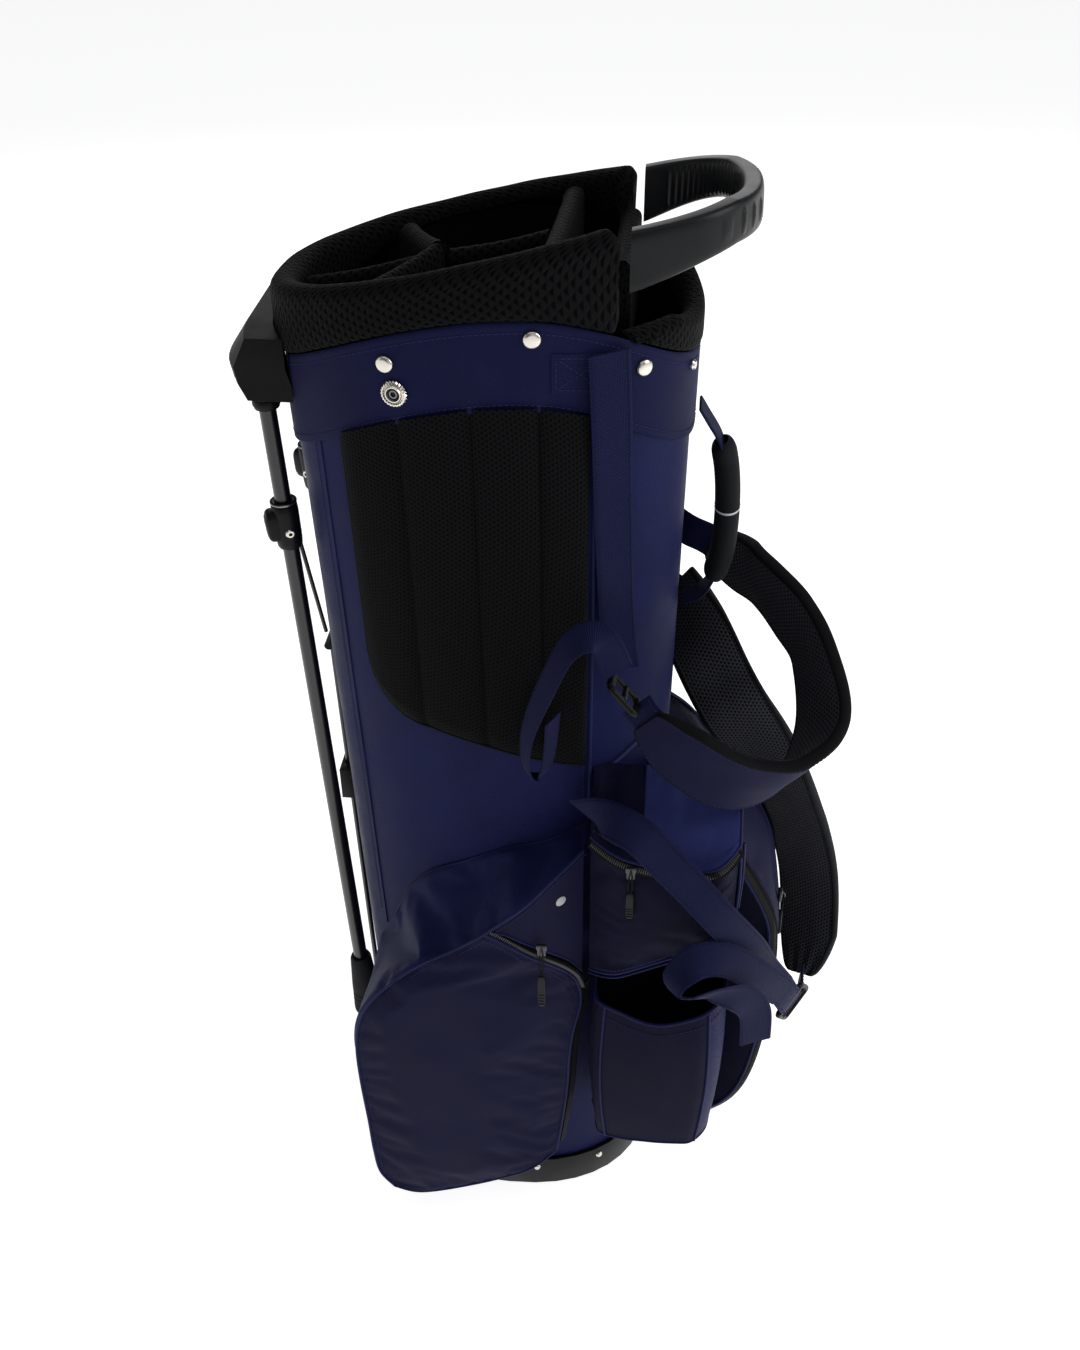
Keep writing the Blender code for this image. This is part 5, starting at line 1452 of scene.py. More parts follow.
# ---------------------------------------------------------------- ball pocket on the spine
BALL_PROFILE = [
    (0.118, 0.084), (0.158, 0.083), (0.190, 0.099), (0.210, 0.130), (0.221, 0.190), (0.2240, 0.270),
    (0.2235, 0.310), (0.2185, 0.343), (0.1985, 0.386), (0.171, 0.430), (0.146, 0.463), (0.124, 0.479),
]
BALL_NEAR_Y, BALL_FAR_Y = -0.071, 0.027


def ball_pocket():
    """Large spine pocket: a bowed front panel with zips down both edges and soft sides."""
    profile = resample([(x, 0.0, z) for x, z in BALL_PROFILE], 90)
    widths = np.linspace(BALL_NEAR_Y, BALL_FAR_Y, 48)
    middle_y, half = (BALL_NEAR_Y + BALL_FAR_Y) / 2, (BALL_FAR_Y - BALL_NEAR_Y) / 2
    front_rows = [
        [(x + 0.0030 * (1 - ((y - middle_y) / half) ** 2), y, z) for y in widths] for x, _, z in profile
    ]
    front = piece_of("ball_front", [(np.array(front_rows), navy_soft)])
    puff(front, boundary_of(front), pressure=1.6, slack=0.010, cap=0.004)
    rumple(front, 0.0009, 24.0, fade_from(border_points(front), 0.012), seed=11.0)
    made = [front]
    centre = np.array((0.120, 0.0, 0.30))
    for side, edge_y in ((-1, BALL_NEAR_Y), (1, BALL_FAR_Y)):
        edge = profile + np.array((0, edge_y, 0))
        shoulder = edge + (centre - profile) * np.array((0.035, 0, 0.025)) + np.array((0, side * 0.0085, 0))
        inner = profile.copy()
        inner[:, 0] = np.minimum(0.128, profile[:, 0] - 0.004)
        inner[:, 1] = [
            side * abs(oval(-turn_at_x(x, z), z, 0.001)[1]) if x < 0.127 and side < 0 else side * (
                0.040 if side < 0 else 0.016
            )
            for x, _, z in inner
        ]
        rows = [edge, edge * 0.5 + shoulder * 0.5 + np.array((0.0008, side * 0.0012, 0)), shoulder]
        for t in np.linspace(0.12, 1, 9):
            rows.append(shoulder * (1 - t) + inner * t)
        # The side panels have the painted shade colour.
        panel = piece_of(f"ball_side_{side}", [(np.array(rows), navy_painted_shade)])
        rumple(panel, 0.0012, 26.0, fade_from(border_points(panel), 0.015), seed=4.0 + side)
        made.append(panel)
        outward = np.array((0.55, side * 0.83, 0.0))
        run = spaced((edge + shoulder)[6:-8] / 2 + np.array((0.0010, side * 0.0016, 0)), 0.003)
        made.append(zip_run(f"ball_coil_{side}", run, outward, 0.0105))
        made.append(zip_teeth(f"ball_teeth_{side}", run, outward))
        for k, line in enumerate((edge + (0.0006, 0, 0), shoulder + (0.0002, side * 0.0006, 0))):
            made.append(tube(f"ball_pipe_{side}_{k}", spaced(line, 0.003), PIPING_RADIUS, piping_cloth))
        inset = profile + np.array((0.0022, edge_y - side * 0.0050, 0))
        made.append(stitches(f"ball_stitch_{side}", spaced(inset, 0.003), (1, 0, 0)))
    whole = join(made, "ball_fabric")
    place_on(whole, "bag", "navy_fabric", "ball_pocket")


# ---------------------------------------------------------------- drink pouch
POUCH_PLAN = [(0.0835, -0.0960), (0.0850, -0.1220), (0.0920, -0.1325), (0.1150, -0.1370), (0.1380, -0.1380),
              (0.1600, -0.1360), (0.1730, -0.1325), (0.1840, -0.1200), (0.1880, -0.0990), (0.1885, -0.0800)]
POUCH_BOTTOM = 0.1140


def pouch_top(x):
    return 0.2840 + 0.0070 * math.cos((x - 0.083) / 0.104 * 2 * math.pi) - 0.002


def drink_pouch():
    """Open pouch with a hemmed mouth that dips in the middle, a seamed side panel and a lining painted dark
    as the shade inside the pouch.
    """
    plan = resample([(x, y, 0.0) for x, y in POUCH_PLAN], 96)
    middle = np.array((0.136, -0.100, 0.0))

    def wall_rows(inset, count):
        rows = []
        for t in np.linspace(0, 1, count):
            row = []
            for k, place in enumerate(plan):
                low, high = POUCH_BOTTOM + 0.006, pouch_top(place[0])
                z = low + (high - low) * t
                out = place - middle
                out /= np.linalg.norm(out)
                bow = 0.0030 * math.sin(math.pi * t) - 0.0040 * (1 - t) ** 3
                ripple = 0.0012 * noise.noise(Vector((k * 0.09, z * 12.0, 7.0))) * math.sin(math.pi * k / 95)
                hold = min(1.0, k / 8.0, (95 - k) / 8.0)
                row.append(place + out * ((bow + ripple) * hold - inset) + np.array((0, 0, z)))
            rows.append(row)
        return np.array(rows)

    outer, inner = wall_rows(0.0, 44), wall_rows(0.0022, 20)
    seam = 66
    base = middle * (1, 1, 0) + np.array((0, 0.004, POUCH_BOTTOM + 0.002))
    base_rows = np.array([outer[0] * (1 - t) + base * t + np.array((0, 0, -0.003 * math.sin(math.pi * t)))
                          for t in np.linspace(0, 0.98, 10)])
    # The pouch's front panel has the painted shade colour, and its lining is painted dark as the shade inside
    # it.
    patches = [
        (outer[:, :seam + 1], navy_painted_shade), (outer[:, seam:], navy), (inner[::-1], pouch_lining_painted_shade),
        (base_rows[::-1], navy), (np.stack((outer[-1], inner[-1])), navy_soft),
    ]
    shell = piece_of("pouch_shell", patches)
    made = [shell]
    back_plan = resample(
        [(0.0850, -0.0985, 0.0), (0.1100, -0.0890, 0.0), (0.1400, -0.0830, 0.0), (0.1865, -0.0812, 0.0)],
        40,
    )
    back_rows = [back_plan + np.array((0, 0, z)) for z in np.linspace(POUCH_BOTTOM + 0.008, 0.335, 16)]
    # The back inside the pouch has the lining's painted shade colour.
    made.append(piece_of("pouch_back", [(np.array(back_rows), pouch_lining_painted_shade)]))
    hem = outer[-1]
    made.append(tube("pouch_hem", spaced(hem, 0.003), 0.0013, piping_cloth))
    made.append(
        tube("pouch_seam", spaced(outer[:, seam] + (0.0004, -0.0006, 0), 0.003), 0.0009, piping_cloth)
    )
    made.append(tube("pouch_left", spaced(outer[:, 22] + (-0.0003, -0.0006, 0), 0.003), 0.0009, piping_cloth))
    made.append(tube("pouch_foot", spaced(outer[0] + (0, 0, 0.0004), 0.003), 0.0009, piping_cloth))
    made.append(stitches("pouch_stitch", spaced(outer[-4] + (0, -0.0004, 0), 0.003), (0, -1, 0)))
    place_on(join(made, "pouch_fabric"), "bag", "navy_fabric", "drink_pouch")


# ---------------------------------------------------------------- apparel pocket on the far side
def apparel_pocket():
    """Long garment pocket: a puffed panel with a full-length zip, a piped rim and a shallow gusset."""
    low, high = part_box("apparel_pocket")
    corner = 0.030
    half = ((high.x - low.x) / 2 - 0.002, (high.z - low.z) / 2 - 0.002)
    centre = ((low.x + high.x) / 2, (low.z + high.z) / 2)
    columns, rows = 44, 120
    grid = []
    for v in np.linspace(-1, 1, rows):
        row = []
        end = max(0.0, (abs(v) * half[1] - (half[1] - corner)) / corner)
        width = half[0] - corner * (1 - math.sqrt(max(0.0, 1 - min(end, 1.0) ** 2)))
        for u in np.linspace(-1, 1, columns):
            x = centre[0] + u * width
            z = centre[1] + v * half[1]
            row.append((x, high.y - 0.0060 - 0.004 * u * u, z))
        grid.append(row)
    front_grid = np.array(grid)
    front = piece_of("apparel_front", [(front_grid, navy_soft)])
    puff(front, boundary_of(front), pressure=1.5, slack=0.012, cap=0.0055)
    rumple(front, 0.0009, 20.0, fade_from(border_points(front), 0.014), seed=15.0)
    loop = np.concatenate(
        (front_grid[0], front_grid[1:, -1], front_grid[-1, ::-1][1:], front_grid[::-1, 0][1:])
    )
    back = []
    for x, _, z in loop:
        x = centre[0] + (x - centre[0]) * 0.985
        z = centre[1] + (z - centre[1]) * 0.994
        back.append(oval(turn_at_x(x, z), z, 0.0008))
    back = np.array(back)
    rows_between = []
    for t in np.linspace(0, 1, 12):
        swell = np.zeros_like(loop)
        swell[:, 0] = (loop[:, 0] - centre[0]) / half[0] * 0.0015 * math.sin(math.pi * t)
        rows_between.append(loop * (1 - t) + back * t + swell)
    gusset = piece_of("apparel_gusset", [(np.array(rows_between), navy)])
    made = [front, gusset]
    made.append(tube("apparel_pipe", spaced(loop + (0, 0.0004, 0), 0.0035), PIPING_RADIUS, piping_cloth))
    made.append(tube("apparel_seat", spaced(back, 0.0035), 0.0008, piping_cloth))
    zip_x, zip_y = -0.030, high.y - 0.0026
    run = np.array([(zip_x, zip_y - 0.0006, z) for z in np.linspace(low.z + 0.10, 0.600, 120)])
    made.append(zip_run("apparel_coil", run, (0, 1, 0), 0.014))
    made.append(zip_teeth("apparel_teeth", run, (0, 1, 0)))
    for side in (-1, 1):
        made.append(stitches(f"apparel_stitch_{side}", run + (side * 0.0088, 0.0004, 0), (0, 1, 0)))
    place_on(join(made, "apparel_fabric"), "bag", "navy_fabric", "apparel_pocket")


hip_pad()
cooler_pocket()
valuables_pocket()
ball_pocket()
drink_pouch()
apparel_pocket()


# ---------------------------------------------------------------- straps, webbing and buckles
def strap_frames(stations, step=0.003):
    """Path, width direction and face direction of a band through stations of (place, face direction)."""
    rows = spaced(spline([np.concatenate((place, face)) for place, face in stations], step), step, 3)
    path, face = rows[:, :3], rows[:, 3:]
    tangents, _, _ = frames_along(path)
    across = np.cross(tangents, face)
    across /= np.linalg.norm(across, axis=1, keepdims=True)
    return path, across, np.cross(across, tangents)


def padded_strap(name, node_name, stations, gathered):
    """Shoulder strap: a smooth outer face, a mesh lining and a bound, stitched edge all round."""
    path, across, face = strap_frames(stations)
    count = len(path)
    steps = np.linspace(0, np.linalg.norm(np.diff(path, axis=0), axis=1).sum(), count)
    from_end = np.minimum(steps, steps[-1] - steps)
    wide = STRAP_WIDTH * (0.52 + 0.48 * np.clip(from_end / 0.032, 0, 1) ** 0.6)
    thick = STRAP_THICKNESS * (0.40 + 0.60 * np.clip(from_end / 0.020, 0, 1) ** 0.7)
    if gathered:
        wide[:] = STRAP_WIDTH * (0.42 + 0.58 * np.clip((steps[-1] - steps) / 0.040, 0, 1) ** 0.6)

    def rows_of(section_points):
        found = []
        for k in range(count):
            folds = 0.0
            if gathered:
                folds = 0.0016 * max(0.0, 1 - (steps[-1] - steps[k]) / 0.035)
            found.append([
                path[k] + across[k] * (u * wide[k])
                + face[k] * (v * thick[k] + folds * math.sin(u * 26.0)
                             + 0.0007 * noise.noise(Vector((u * 3.0, steps[k] * 30.0, 1.0))))
                for u, v in section_points
            ])
        return np.array(found)

    inside = np.linspace(-0.44, 0.44, 19)
    outer = [(u, 0.40 + 0.10 * (1 - (u / 0.5) ** 4)) for u in inside]
    inner = [(u, -0.36 - 0.14 * (1 - (u / 0.5) ** 4)) for u in inside[::-1]]
    right = [
        outer[-1], (0.465, 0.46), (0.492, 0.34), (0.500, 0.10), (0.500, -0.10), (0.490, -0.34),
        (0.465, -0.44), inner[0],
    ]
    left = [inner[-1], (-0.465, -0.44), (-0.490, -0.34), (-0.500, -0.10), (-0.500, 0.10), (-0.492, 0.34),
            (-0.465, 0.46), outer[0]]
    # The strap's mesh lining has the painted light colour.
    patches = [(rows_of(outer), navy_soft), (rows_of(right), binding), (rows_of(inner), strap_mesh),
               (rows_of(left), binding)]
    loop = outer + right[1:] + inner[1:] + left[1:]
    whole = rows_of(loop)
    for end, rest in ((0, whole[0]), (-1, whole[-1])):
        middle = np.broadcast_to(rest.mean(axis=0), rest.shape)
        patches.append((np.stack((middle, rest)) if end == 0 else np.stack((rest, middle)), binding))
    made = [piece_of(name + "_body", patches)]
    for k, (u, v) in enumerate(((0.435, 0.455), (-0.435, 0.455), (0.435, -0.425), (-0.435, -0.425))):
        line = rows_of([(u, v)])[3:-3, 0]
        direction = face[3:-3] * math.copysign(1, v)
        made.append(stitches(f"{name}_stitch_{k}", line, direction, thread if v > 0 else stitch_grey))
    piece = place_on(join(made, name), "bag", "strap_mesh", node_name)


def webbing_strap(
    name, node_name, stations, width, thickness=0.0019,
):
    """Flat woven strap with a stitched row along each edge."""
    path, across, face = strap_frames(stations)
    made = [piece_of(name + "_band", [(band_grid(path, across, width, thickness), webbing)])]
    for side in (-1, 1):
        for out in (-1, 1):
            line = path + across * (side * width * 0.42) + face * (out * thickness * 0.5)
            made.append(tube(f"{name}_edge_{side}_{out}", line, 0.00035, webbing, 5))
    piece = place_on(join(made, name), "bag", "navy_webbing", node_name)


RIGHT_STRAP = [
    ((0.1160, -0.1260, 0.5700), (0.00, -0.93, -0.35)), ((0.1465, -0.1320, 0.5450), (0.05, -0.95, -0.30)),
    ((0.1821, -0.1240, 0.5186), (0.15, -0.95, -0.20)), ((0.2175, -0.0980, 0.5080), (0.45, -0.70, -0.55)),
    ((0.2400, -0.0600, 0.5250), (0.80, 0.20, -0.55)), ((0.2320, -0.0250, 0.5600), (0.80, 0.55, 0.00)),
    ((0.2160, 0.0000, 0.5757), (0.65, 0.75, 0.10)), ((0.1966, 0.0220, 0.5872), (0.45, 0.85, 0.25)),
    ((0.1779, 0.0380, 0.5943), (0.30, 0.92, 0.20)), ((0.1560, 0.0480, 0.6060), (0.30, 0.95, 0.10)),
]
LEFT_STRAP = [
    ((0.1270, 0.0800, 0.5420), (0.60, 0.74, -0.30)), ((0.1430, 0.0560, 0.5280), (0.35, 0.80, -0.48)),
    ((0.1545, 0.0360, 0.5160), (0.10, 0.80, -0.60)), ((0.1670, 0.0230, 0.4970), (0.10, 0.80, -0.60)),
    ((0.1825, 0.0110, 0.4760), (0.20, 0.82, -0.54)), ((0.2130, 0.0180, 0.4240), (0.40, 0.86, -0.30)),
    ((0.2405, 0.0360, 0.3500), (0.45, 0.88, -0.05)), ((0.2580, 0.0400, 0.2810), (0.45, 0.89, 0.00)),
    ((0.2630, 0.0240, 0.2240), (0.50, 0.87, 0.00)), ((0.2585, 0.0020, 0.1930), (0.45, 0.88, 0.00)),
]
LOOSE_GROW = 0.0042
WALL_WEBBING = ((0.0836, 0.8230), (0.0860, 0.7770), (0.0875, 0.7242), (0.0898, 0.6743), (0.0922, 0.6253))
HUB_WEBBING = ((0.1120, 0.7500), (0.1120, 0.7000), (0.1120, 0.6400), (0.1120, 0.5700))
LOWER_WEBBING = [
    ((0.0720, -0.1130, 0.4740), (0.30, -0.90, 0.20)), ((0.0950, -0.1405, 0.4910), (0.15, -0.80, 0.55)),
    ((0.1155, -0.1505, 0.4870), (0.12, -0.82, 0.55)), ((0.1331, -0.1520, 0.4670), (0.12, -0.88, 0.45)),
    ((0.1525, -0.1520, 0.4437), (0.15, -0.93, 0.30)), ((0.1770, -0.1490, 0.4090), (0.30, -0.93, 0.15)),
    ((0.2030, -0.1280, 0.3560), (0.60, -0.80, 0.10)), ((0.2190, -0.0920, 0.2951), (0.65, -0.75, 0.05)),
    ((0.2370, -0.0720, 0.2520), (0.80, -0.60, 0.00)),
]
UPPER_TAIL = [
    ((0.0960, -0.1220, 0.6080), (0.30, -0.80, 0.30)), ((0.0833, -0.1280, 0.6381), (-0.30, -0.60, 0.70)),
    ((0.0643, -0.1320, 0.6331), (-0.70, -0.50, 0.50)), ((0.0484, -0.1350, 0.5989), (-0.85, -0.50, 0.20)),
    ((0.0359, -0.1350, 0.5595), (-0.90, -0.40, 0.10)), ((0.0350, -0.1340, 0.5280), (-0.80, -0.40, -0.40)),
    ((0.0440, -0.1320, 0.5200), (0.30, -0.40, -0.85)), ((0.0500, -0.1300, 0.5350), (0.90, -0.35, -0.10)),
    ((0.0530, -0.1280, 0.5700), (0.90, -0.40, 0.00)),
]
LOWER_TAIL = [
    ((0.2330, -0.1080, 0.2900), (0.50, -0.85, 0.10)), ((0.2100, -0.1360, 0.3380), (0.30, -0.80, 0.50)),
    ((0.1846, -0.1560, 0.3745), (0.10, -0.75, 0.65)), ((0.1625, -0.1680, 0.3852), (-0.10, -0.75, 0.65)),
    ((0.1475, -0.1760, 0.3766), (-0.75, -0.50, 0.40)), ((0.1446, -0.1780, 0.3626), (-0.70, -0.55, -0.45)),
    ((0.1570, -0.1790, 0.3570), (0.00, -0.75, -0.65)), ((0.1760, -0.1740, 0.3580), (0.30, -0.85, -0.40)),
    ((0.1960, -0.1640, 0.3440), (0.40, -0.90, 0.10)), ((0.2080, -0.1540, 0.3180), (0.35, -0.93, 0.10)),
    ((0.2110, -0.1500, 0.2800), (0.35, -0.93, 0.00)),
]


def straps():
    padded_strap("strap_right", "shoulder_strap_right", RIGHT_STRAP, False)
    padded_strap("strap_left", "shoulder_strap_left", LEFT_STRAP, True)
    upper = [seat(x, z, LOOSE_GROW + (0.0030 if z > 0.74 else 0.0)) for x, z in WALL_WEBBING]
    upper.append(((0.0965, -0.1050, 0.5980), (0.40, -0.85, 0.10)))
    hub = [seat(x, z, LOOSE_GROW + (0.0030 if z > 0.72 else 0.0), 1) for x, z in HUB_WEBBING]
    webbing_strap("strap_web_upper", "webbing_upper", upper, 0.0270)
    webbing_strap("strap_web_hub", "webbing_hub", hub, 0.0270)
    webbing_strap(
        "strap_web_lower", "webbing_lower", LOWER_WEBBING, 0.0270,
    )
    webbing_strap(
        "tail_upper", "webbing_tail_upper", UPPER_TAIL, 0.0215, 0.0014,
    )
    webbing_strap(
        "tail_lower", "webbing_tail_lower", LOWER_TAIL, 0.0255, 0.0014,
    )


def pebble(name, centre, axes, halves, finish, power=0.30, sides=28):
    """Block with soft edges: a superellipsoid along three axes."""
    axes = np.asarray(axes, float)
    rows = []
    for v in np.linspace(-math.pi / 2, math.pi / 2, 15):
        row = []
        for u in np.linspace(0, 2 * math.pi, sides + 1):
            values = (math.cos(v) * math.cos(u), math.cos(v) * math.sin(u), math.sin(v))
            parts = (abs(math.cos(v)) ** power * abs(math.cos(u)) ** power,
                     abs(math.cos(v)) ** power * abs(math.sin(u)) ** power, abs(math.sin(v)) ** power)
            local = [math.copysign(part, value) * half for part, value, half in zip(parts, values, halves)]
            row.append(
                np.asarray(centre, float) + local[0] * axes[0] + local[1] * axes[1] + local[2] * axes[2]
            )
        rows.append(row)
    return piece_of(name, [(np.array(rows), finish)], smooth_angle=60)


def unit(direction):
    direction = np.asarray(direction, float)
    return direction / np.linalg.norm(direction)


def ladder_buckle(name, node_name, at, along, out):
    """Ladder-lock buckle: a rounded frame, a fixed middle bar and a lifted lip."""
    at, along, out = np.array(at), unit(along), unit(out)
    across = unit(np.cross(along, out))
    out = unit(np.cross(across, along))
    half_wide, half_long, corner = 0.0160, 0.0125, 0.0040
    loop = []
    for start, (cx, cy) in ((0, (1, 1)), (90, (-1, 1)), (180, (-1, -1)), (270, (1, -1))):
        for a in np.linspace(start, start + 90, 8):
            turn = math.radians(a)
            x = cx * (half_wide - corner) + corner * math.cos(turn)
            y = cy * (half_long - corner) + corner * math.sin(turn)
            loop.append(at + across * x + along * y)
    loop.append(loop[0])
    made = [tube(name + "_frame", np.array(loop), 0.0025, black_plastic, 10)]
    bar = [at + across * t + out * 0.0008 for t in np.linspace(-half_wide, half_wide, 8)]
    made.append(tube(name + "_bar", np.array(bar), 0.0020, black_plastic, 8))
    lip = at - along * (half_long + 0.0006) + out * 0.0010
    made.append(pebble(name + "_lip", lip, (across, along, out), (0.0150, 0.0022, 0.0024), black_plastic))
    place_on(join(made, name), "bag", "buckle_plastic", node_name)


def zip_pull(name, body, node_name, at, out, down, cord=0.018, tab=0.026):
    """Slider with a bail, a cord loop and a moulded tab."""
    at, out, down = np.array(at, float), unit(out), unit(down)
    side = unit(np.cross(out, down))
    axes = (side, down, out)
    made = [
        pebble(
            name + "_nose", at + down * -0.0026 + out * 0.0018, axes, (0.0042, 0.0030, 0.0017), zip_metal,
            0.5,
        ),
        pebble(
            name + "_tail", at + down * 0.0022 + out * 0.0018, axes, (0.0033, 0.0036, 0.0017), zip_metal,
            0.4,
        ),
    ]
    bail = [at + down * t + out * (0.0030 + 0.0026 * math.sin(math.pi * (t + 0.004) / 0.009))
            for t in np.linspace(-0.004, 0.005, 10)]
    made.append(tube(name + "_bail", np.array(bail), 0.0008, zip_metal, 8))
    for edge in (-1, 1):
        line = [at + out * (0.0050 - 0.0005 * t / 0.01) + down * (0.001 + t)
                + side * (edge * 0.0015 * math.sin(math.pi * min(1.0, (t + 0.002) / (cord + 0.004))))
                for t in np.linspace(0, cord, 14)]
        made.append(tube(f"{name}_cord_{edge}", np.array(line), 0.0008, binding, 7))
    tab_at = at + down * (cord + tab / 2) + out * 0.0040
    made.append(pebble(name + "_tab", tab_at, axes, (0.0030, tab / 2, 0.0017), black_plastic, 0.45))
    for k in range(4):
        rib = tab_at + down * (tab * (0.10 + 0.10 * k)) + out * 0.0016
        made.append(pebble(f"{name}_rib_{k}", rib, axes, (0.0024, 0.0005, 0.0005), black_plastic, 0.6, 12))
    place_on(join(made, name), body, "zip_metal", node_name)


def strap_tab(name, stations, width):
    """Short sewn webbing that joins a strap's end to its buckle or to the sleeve."""
    path, across, face = strap_frames(stations, 0.002)
    wide = width[0] + (width[1] - width[0]) * np.linspace(0, 1, len(path))
    made = [piece_of(name + "_band", [(band_grid(path, across, wide, 0.0022), webbing)])]
    for side in (-1, 1):
        line = path + across * (wide * 0.40 * side)[:, None] + face * 0.0013
        made.append(stitches(f"{name}_row_{side}", line, face))
    place_on(join(made, name), "bag", "navy_webbing")


def strap_ends():
    strap_tab("tab_strap_right", [
        ((0.1620, 0.0462, 0.6028), (0.30, 0.95, 0.10)), ((0.1500, 0.0500, 0.6080), (0.35, 0.93, 0.10)),
        ((0.1380, 0.0525, 0.6120), (0.55, 0.83, 0.05)), ((0.1270, 0.0600, 0.6150), (0.72, 0.69, 0.0)),
        ((0.1180, 0.0700, 0.6150), (0.80, 0.60, 0.0)),
    ], (0.030, 0.030))
    strap_tab("tab_strap_left", [
        ((0.1330, 0.0715, 0.5370), (0.55, 0.76, -0.35)), ((0.1240, 0.0800, 0.5440), (0.60, 0.74, -0.28)),
        ((0.1180, 0.0840, 0.5560), (0.66, 0.74, -0.10)), ((0.1140, 0.0800, 0.5800), (0.68, 0.73, 0.0)),
    ], (0.034, 0.028))
    strap_tab("tab_buckle_upper", [
        ((0.1080, -0.1190, 0.5790), (0.20, -0.85, -0.30)), ((0.1140, -0.1230, 0.5730), (0.10, -0.90, -0.30)),
        ((0.1240, -0.1270, 0.5640), (0.05, -0.93, -0.33)),
    ], (0.027, 0.029))
    strap_tab("tab_buckle_lower", [
        ((0.2515, -0.0370, 0.2040), (0.60, -0.80, 0.0)), ((0.2560, -0.0250, 0.1990), (0.50, -0.85, 0.0)),
        ((0.2590, -0.0020, 0.1975), (0.45, -0.88, 0.0)),
    ], (0.022, 0.024))
    strap_tab("web_to_buckle", [
        ((0.2350, -0.0745, 0.2570), (0.80, -0.60, 0.0)), ((0.2420, -0.0650, 0.2360), (0.80, -0.60, 0.0)),
        ((0.2465, -0.0530, 0.2180), (0.75, -0.66, 0.0)), ((0.2480, -0.0490, 0.2100), (0.75, -0.66, 0.0)),
    ], (0.027, 0.026))


def fittings_on_straps():
    ladder_buckle(
        "buckle_a", "buckle_upper", (0.1000, -0.1200, 0.5870), (0.66, -0.25, -0.62), (0.70, 0.25, 0.66),
    )
    ladder_buckle(
        "buckle_b", "buckle_lower", (0.2490, -0.0440, 0.2080), (0.25, 0.45, -0.60), (0.70, -0.70, 0.0),
    )
    zip_pull(
        "cooler_pull", "cooler_slider", "cooler_zip_slider", (0.0464, -0.1500, 0.3669), (0, -1, 0),
        (0, 0, -1), 0.026, 0.034,
    )
    zip_pull("ball_pull", "ball_slider", "ball_zip_slider", (0.2262, -0.0400, 0.3300), (1, 0, 0), (0, 0, -1))
    zip_pull(
        "valuables_pull", "valuables_slider", "valuables_zip_slider", (0.1100, -0.1366, 0.4400), (0, -1, 0),
        (0, 0, -1),
    )
    zip_pull(
        "apparel_pull", "apparel_slider", "apparel_zip_slider", (-0.0300, 0.1386, 0.5600), (0, 1, 0),
        (0, 0, -1),
    )


straps()
strap_ends()
fittings_on_straps()


# ---------------------------------------------------------------- hard parts
LEG_HINGE, LEG_FOOT = np.array((-0.1465, -0.040, 0.7745)), np.array((-0.1205, -0.047, 0.1580))
CLAMP_SHARE, LINK_SHARE = 0.186, 0.90
ROD_LOW, ROD_HIGH = np.array((-0.1195, 0.0, 0.0103)), np.array((-0.1310, 0.0, 0.5350))
LINK_PIVOT = np.array((0.0050, -0.0090, -0.0205))
LEG_RADIUS, LINK_RADIUS, ROD_RADIUS = 0.0058, 0.0016, 0.0022


def paint(finish, *names):
    """A procedural material on CAD pieces that keep their own shape."""
    for name in names:
        nodes[name].data.materials.clear()
        nodes[name].data.materials.append(finish)


def softened(name, node_name, body, slot_name, finish, width, segments=2):
    """A copy of a CAD piece with its edges rounded off, as moulding or pressing leaves them."""
    source = nodes[node_name]
    mesh = source.data.copy()
    mesh.transform(source.matrix_world)
    mesh.materials.clear()
    mesh.materials.append(finish)
    copy = bpy.data.objects.new(name, mesh)
    scene.collection.objects.link(copy)
    work = bmesh.new()
    work.from_mesh(mesh)
    bmesh.ops.remove_doubles(work, verts=work.verts, dist=0.00001)
    bmesh.ops.dissolve_limit(work, angle_limit=math.radians(4), verts=work.verts, edges=work.edges)
    sharp = [e for e in work.edges if len(e.link_faces) == 2 and e.calc_face_angle(0.0) > math.radians(32)]
    bmesh.ops.bevel(
        work, geom=sharp, offset=width, segments=segments, affect="EDGES", profile=0.6, clamp_overlap=True,
    )
    work.to_mesh(mesh)
    work.free()
    mesh.shade_smooth()
    mesh.set_sharp_from_angle(angle=math.radians(38))
    return place_on(copy, body, slot_name, node_name)


def side_axes(side):
    """Hinge direction and outward direction of a leg: side is -1 on the right, 1 on the left."""
    hinge = np.array((side * math.sin(SPLAY), math.cos(SPLAY), 0.0))
    out = np.array((-math.cos(SPLAY), side * math.sin(SPLAY), 0.0))
    return hinge, out


def leg_point(side, share):
    place = LEG_HINGE + (LEG_FOOT - LEG_HINGE) * share
    return place if side < 0 else place * (1, -1, 1)


def screw(name, place, axis, radius, finish):
    """Domed screw with a recessed drive."""
    profile = [
        (0.0, 0.0002), (radius * 0.35, 0.0002), (radius * 0.42, radius * 0.42),
        (radius * 0.80, radius * 0.36), (radius, radius * 0.10), (radius, -0.0008),
    ]
    return lathe(name, profile, place, axis, finish, 20)


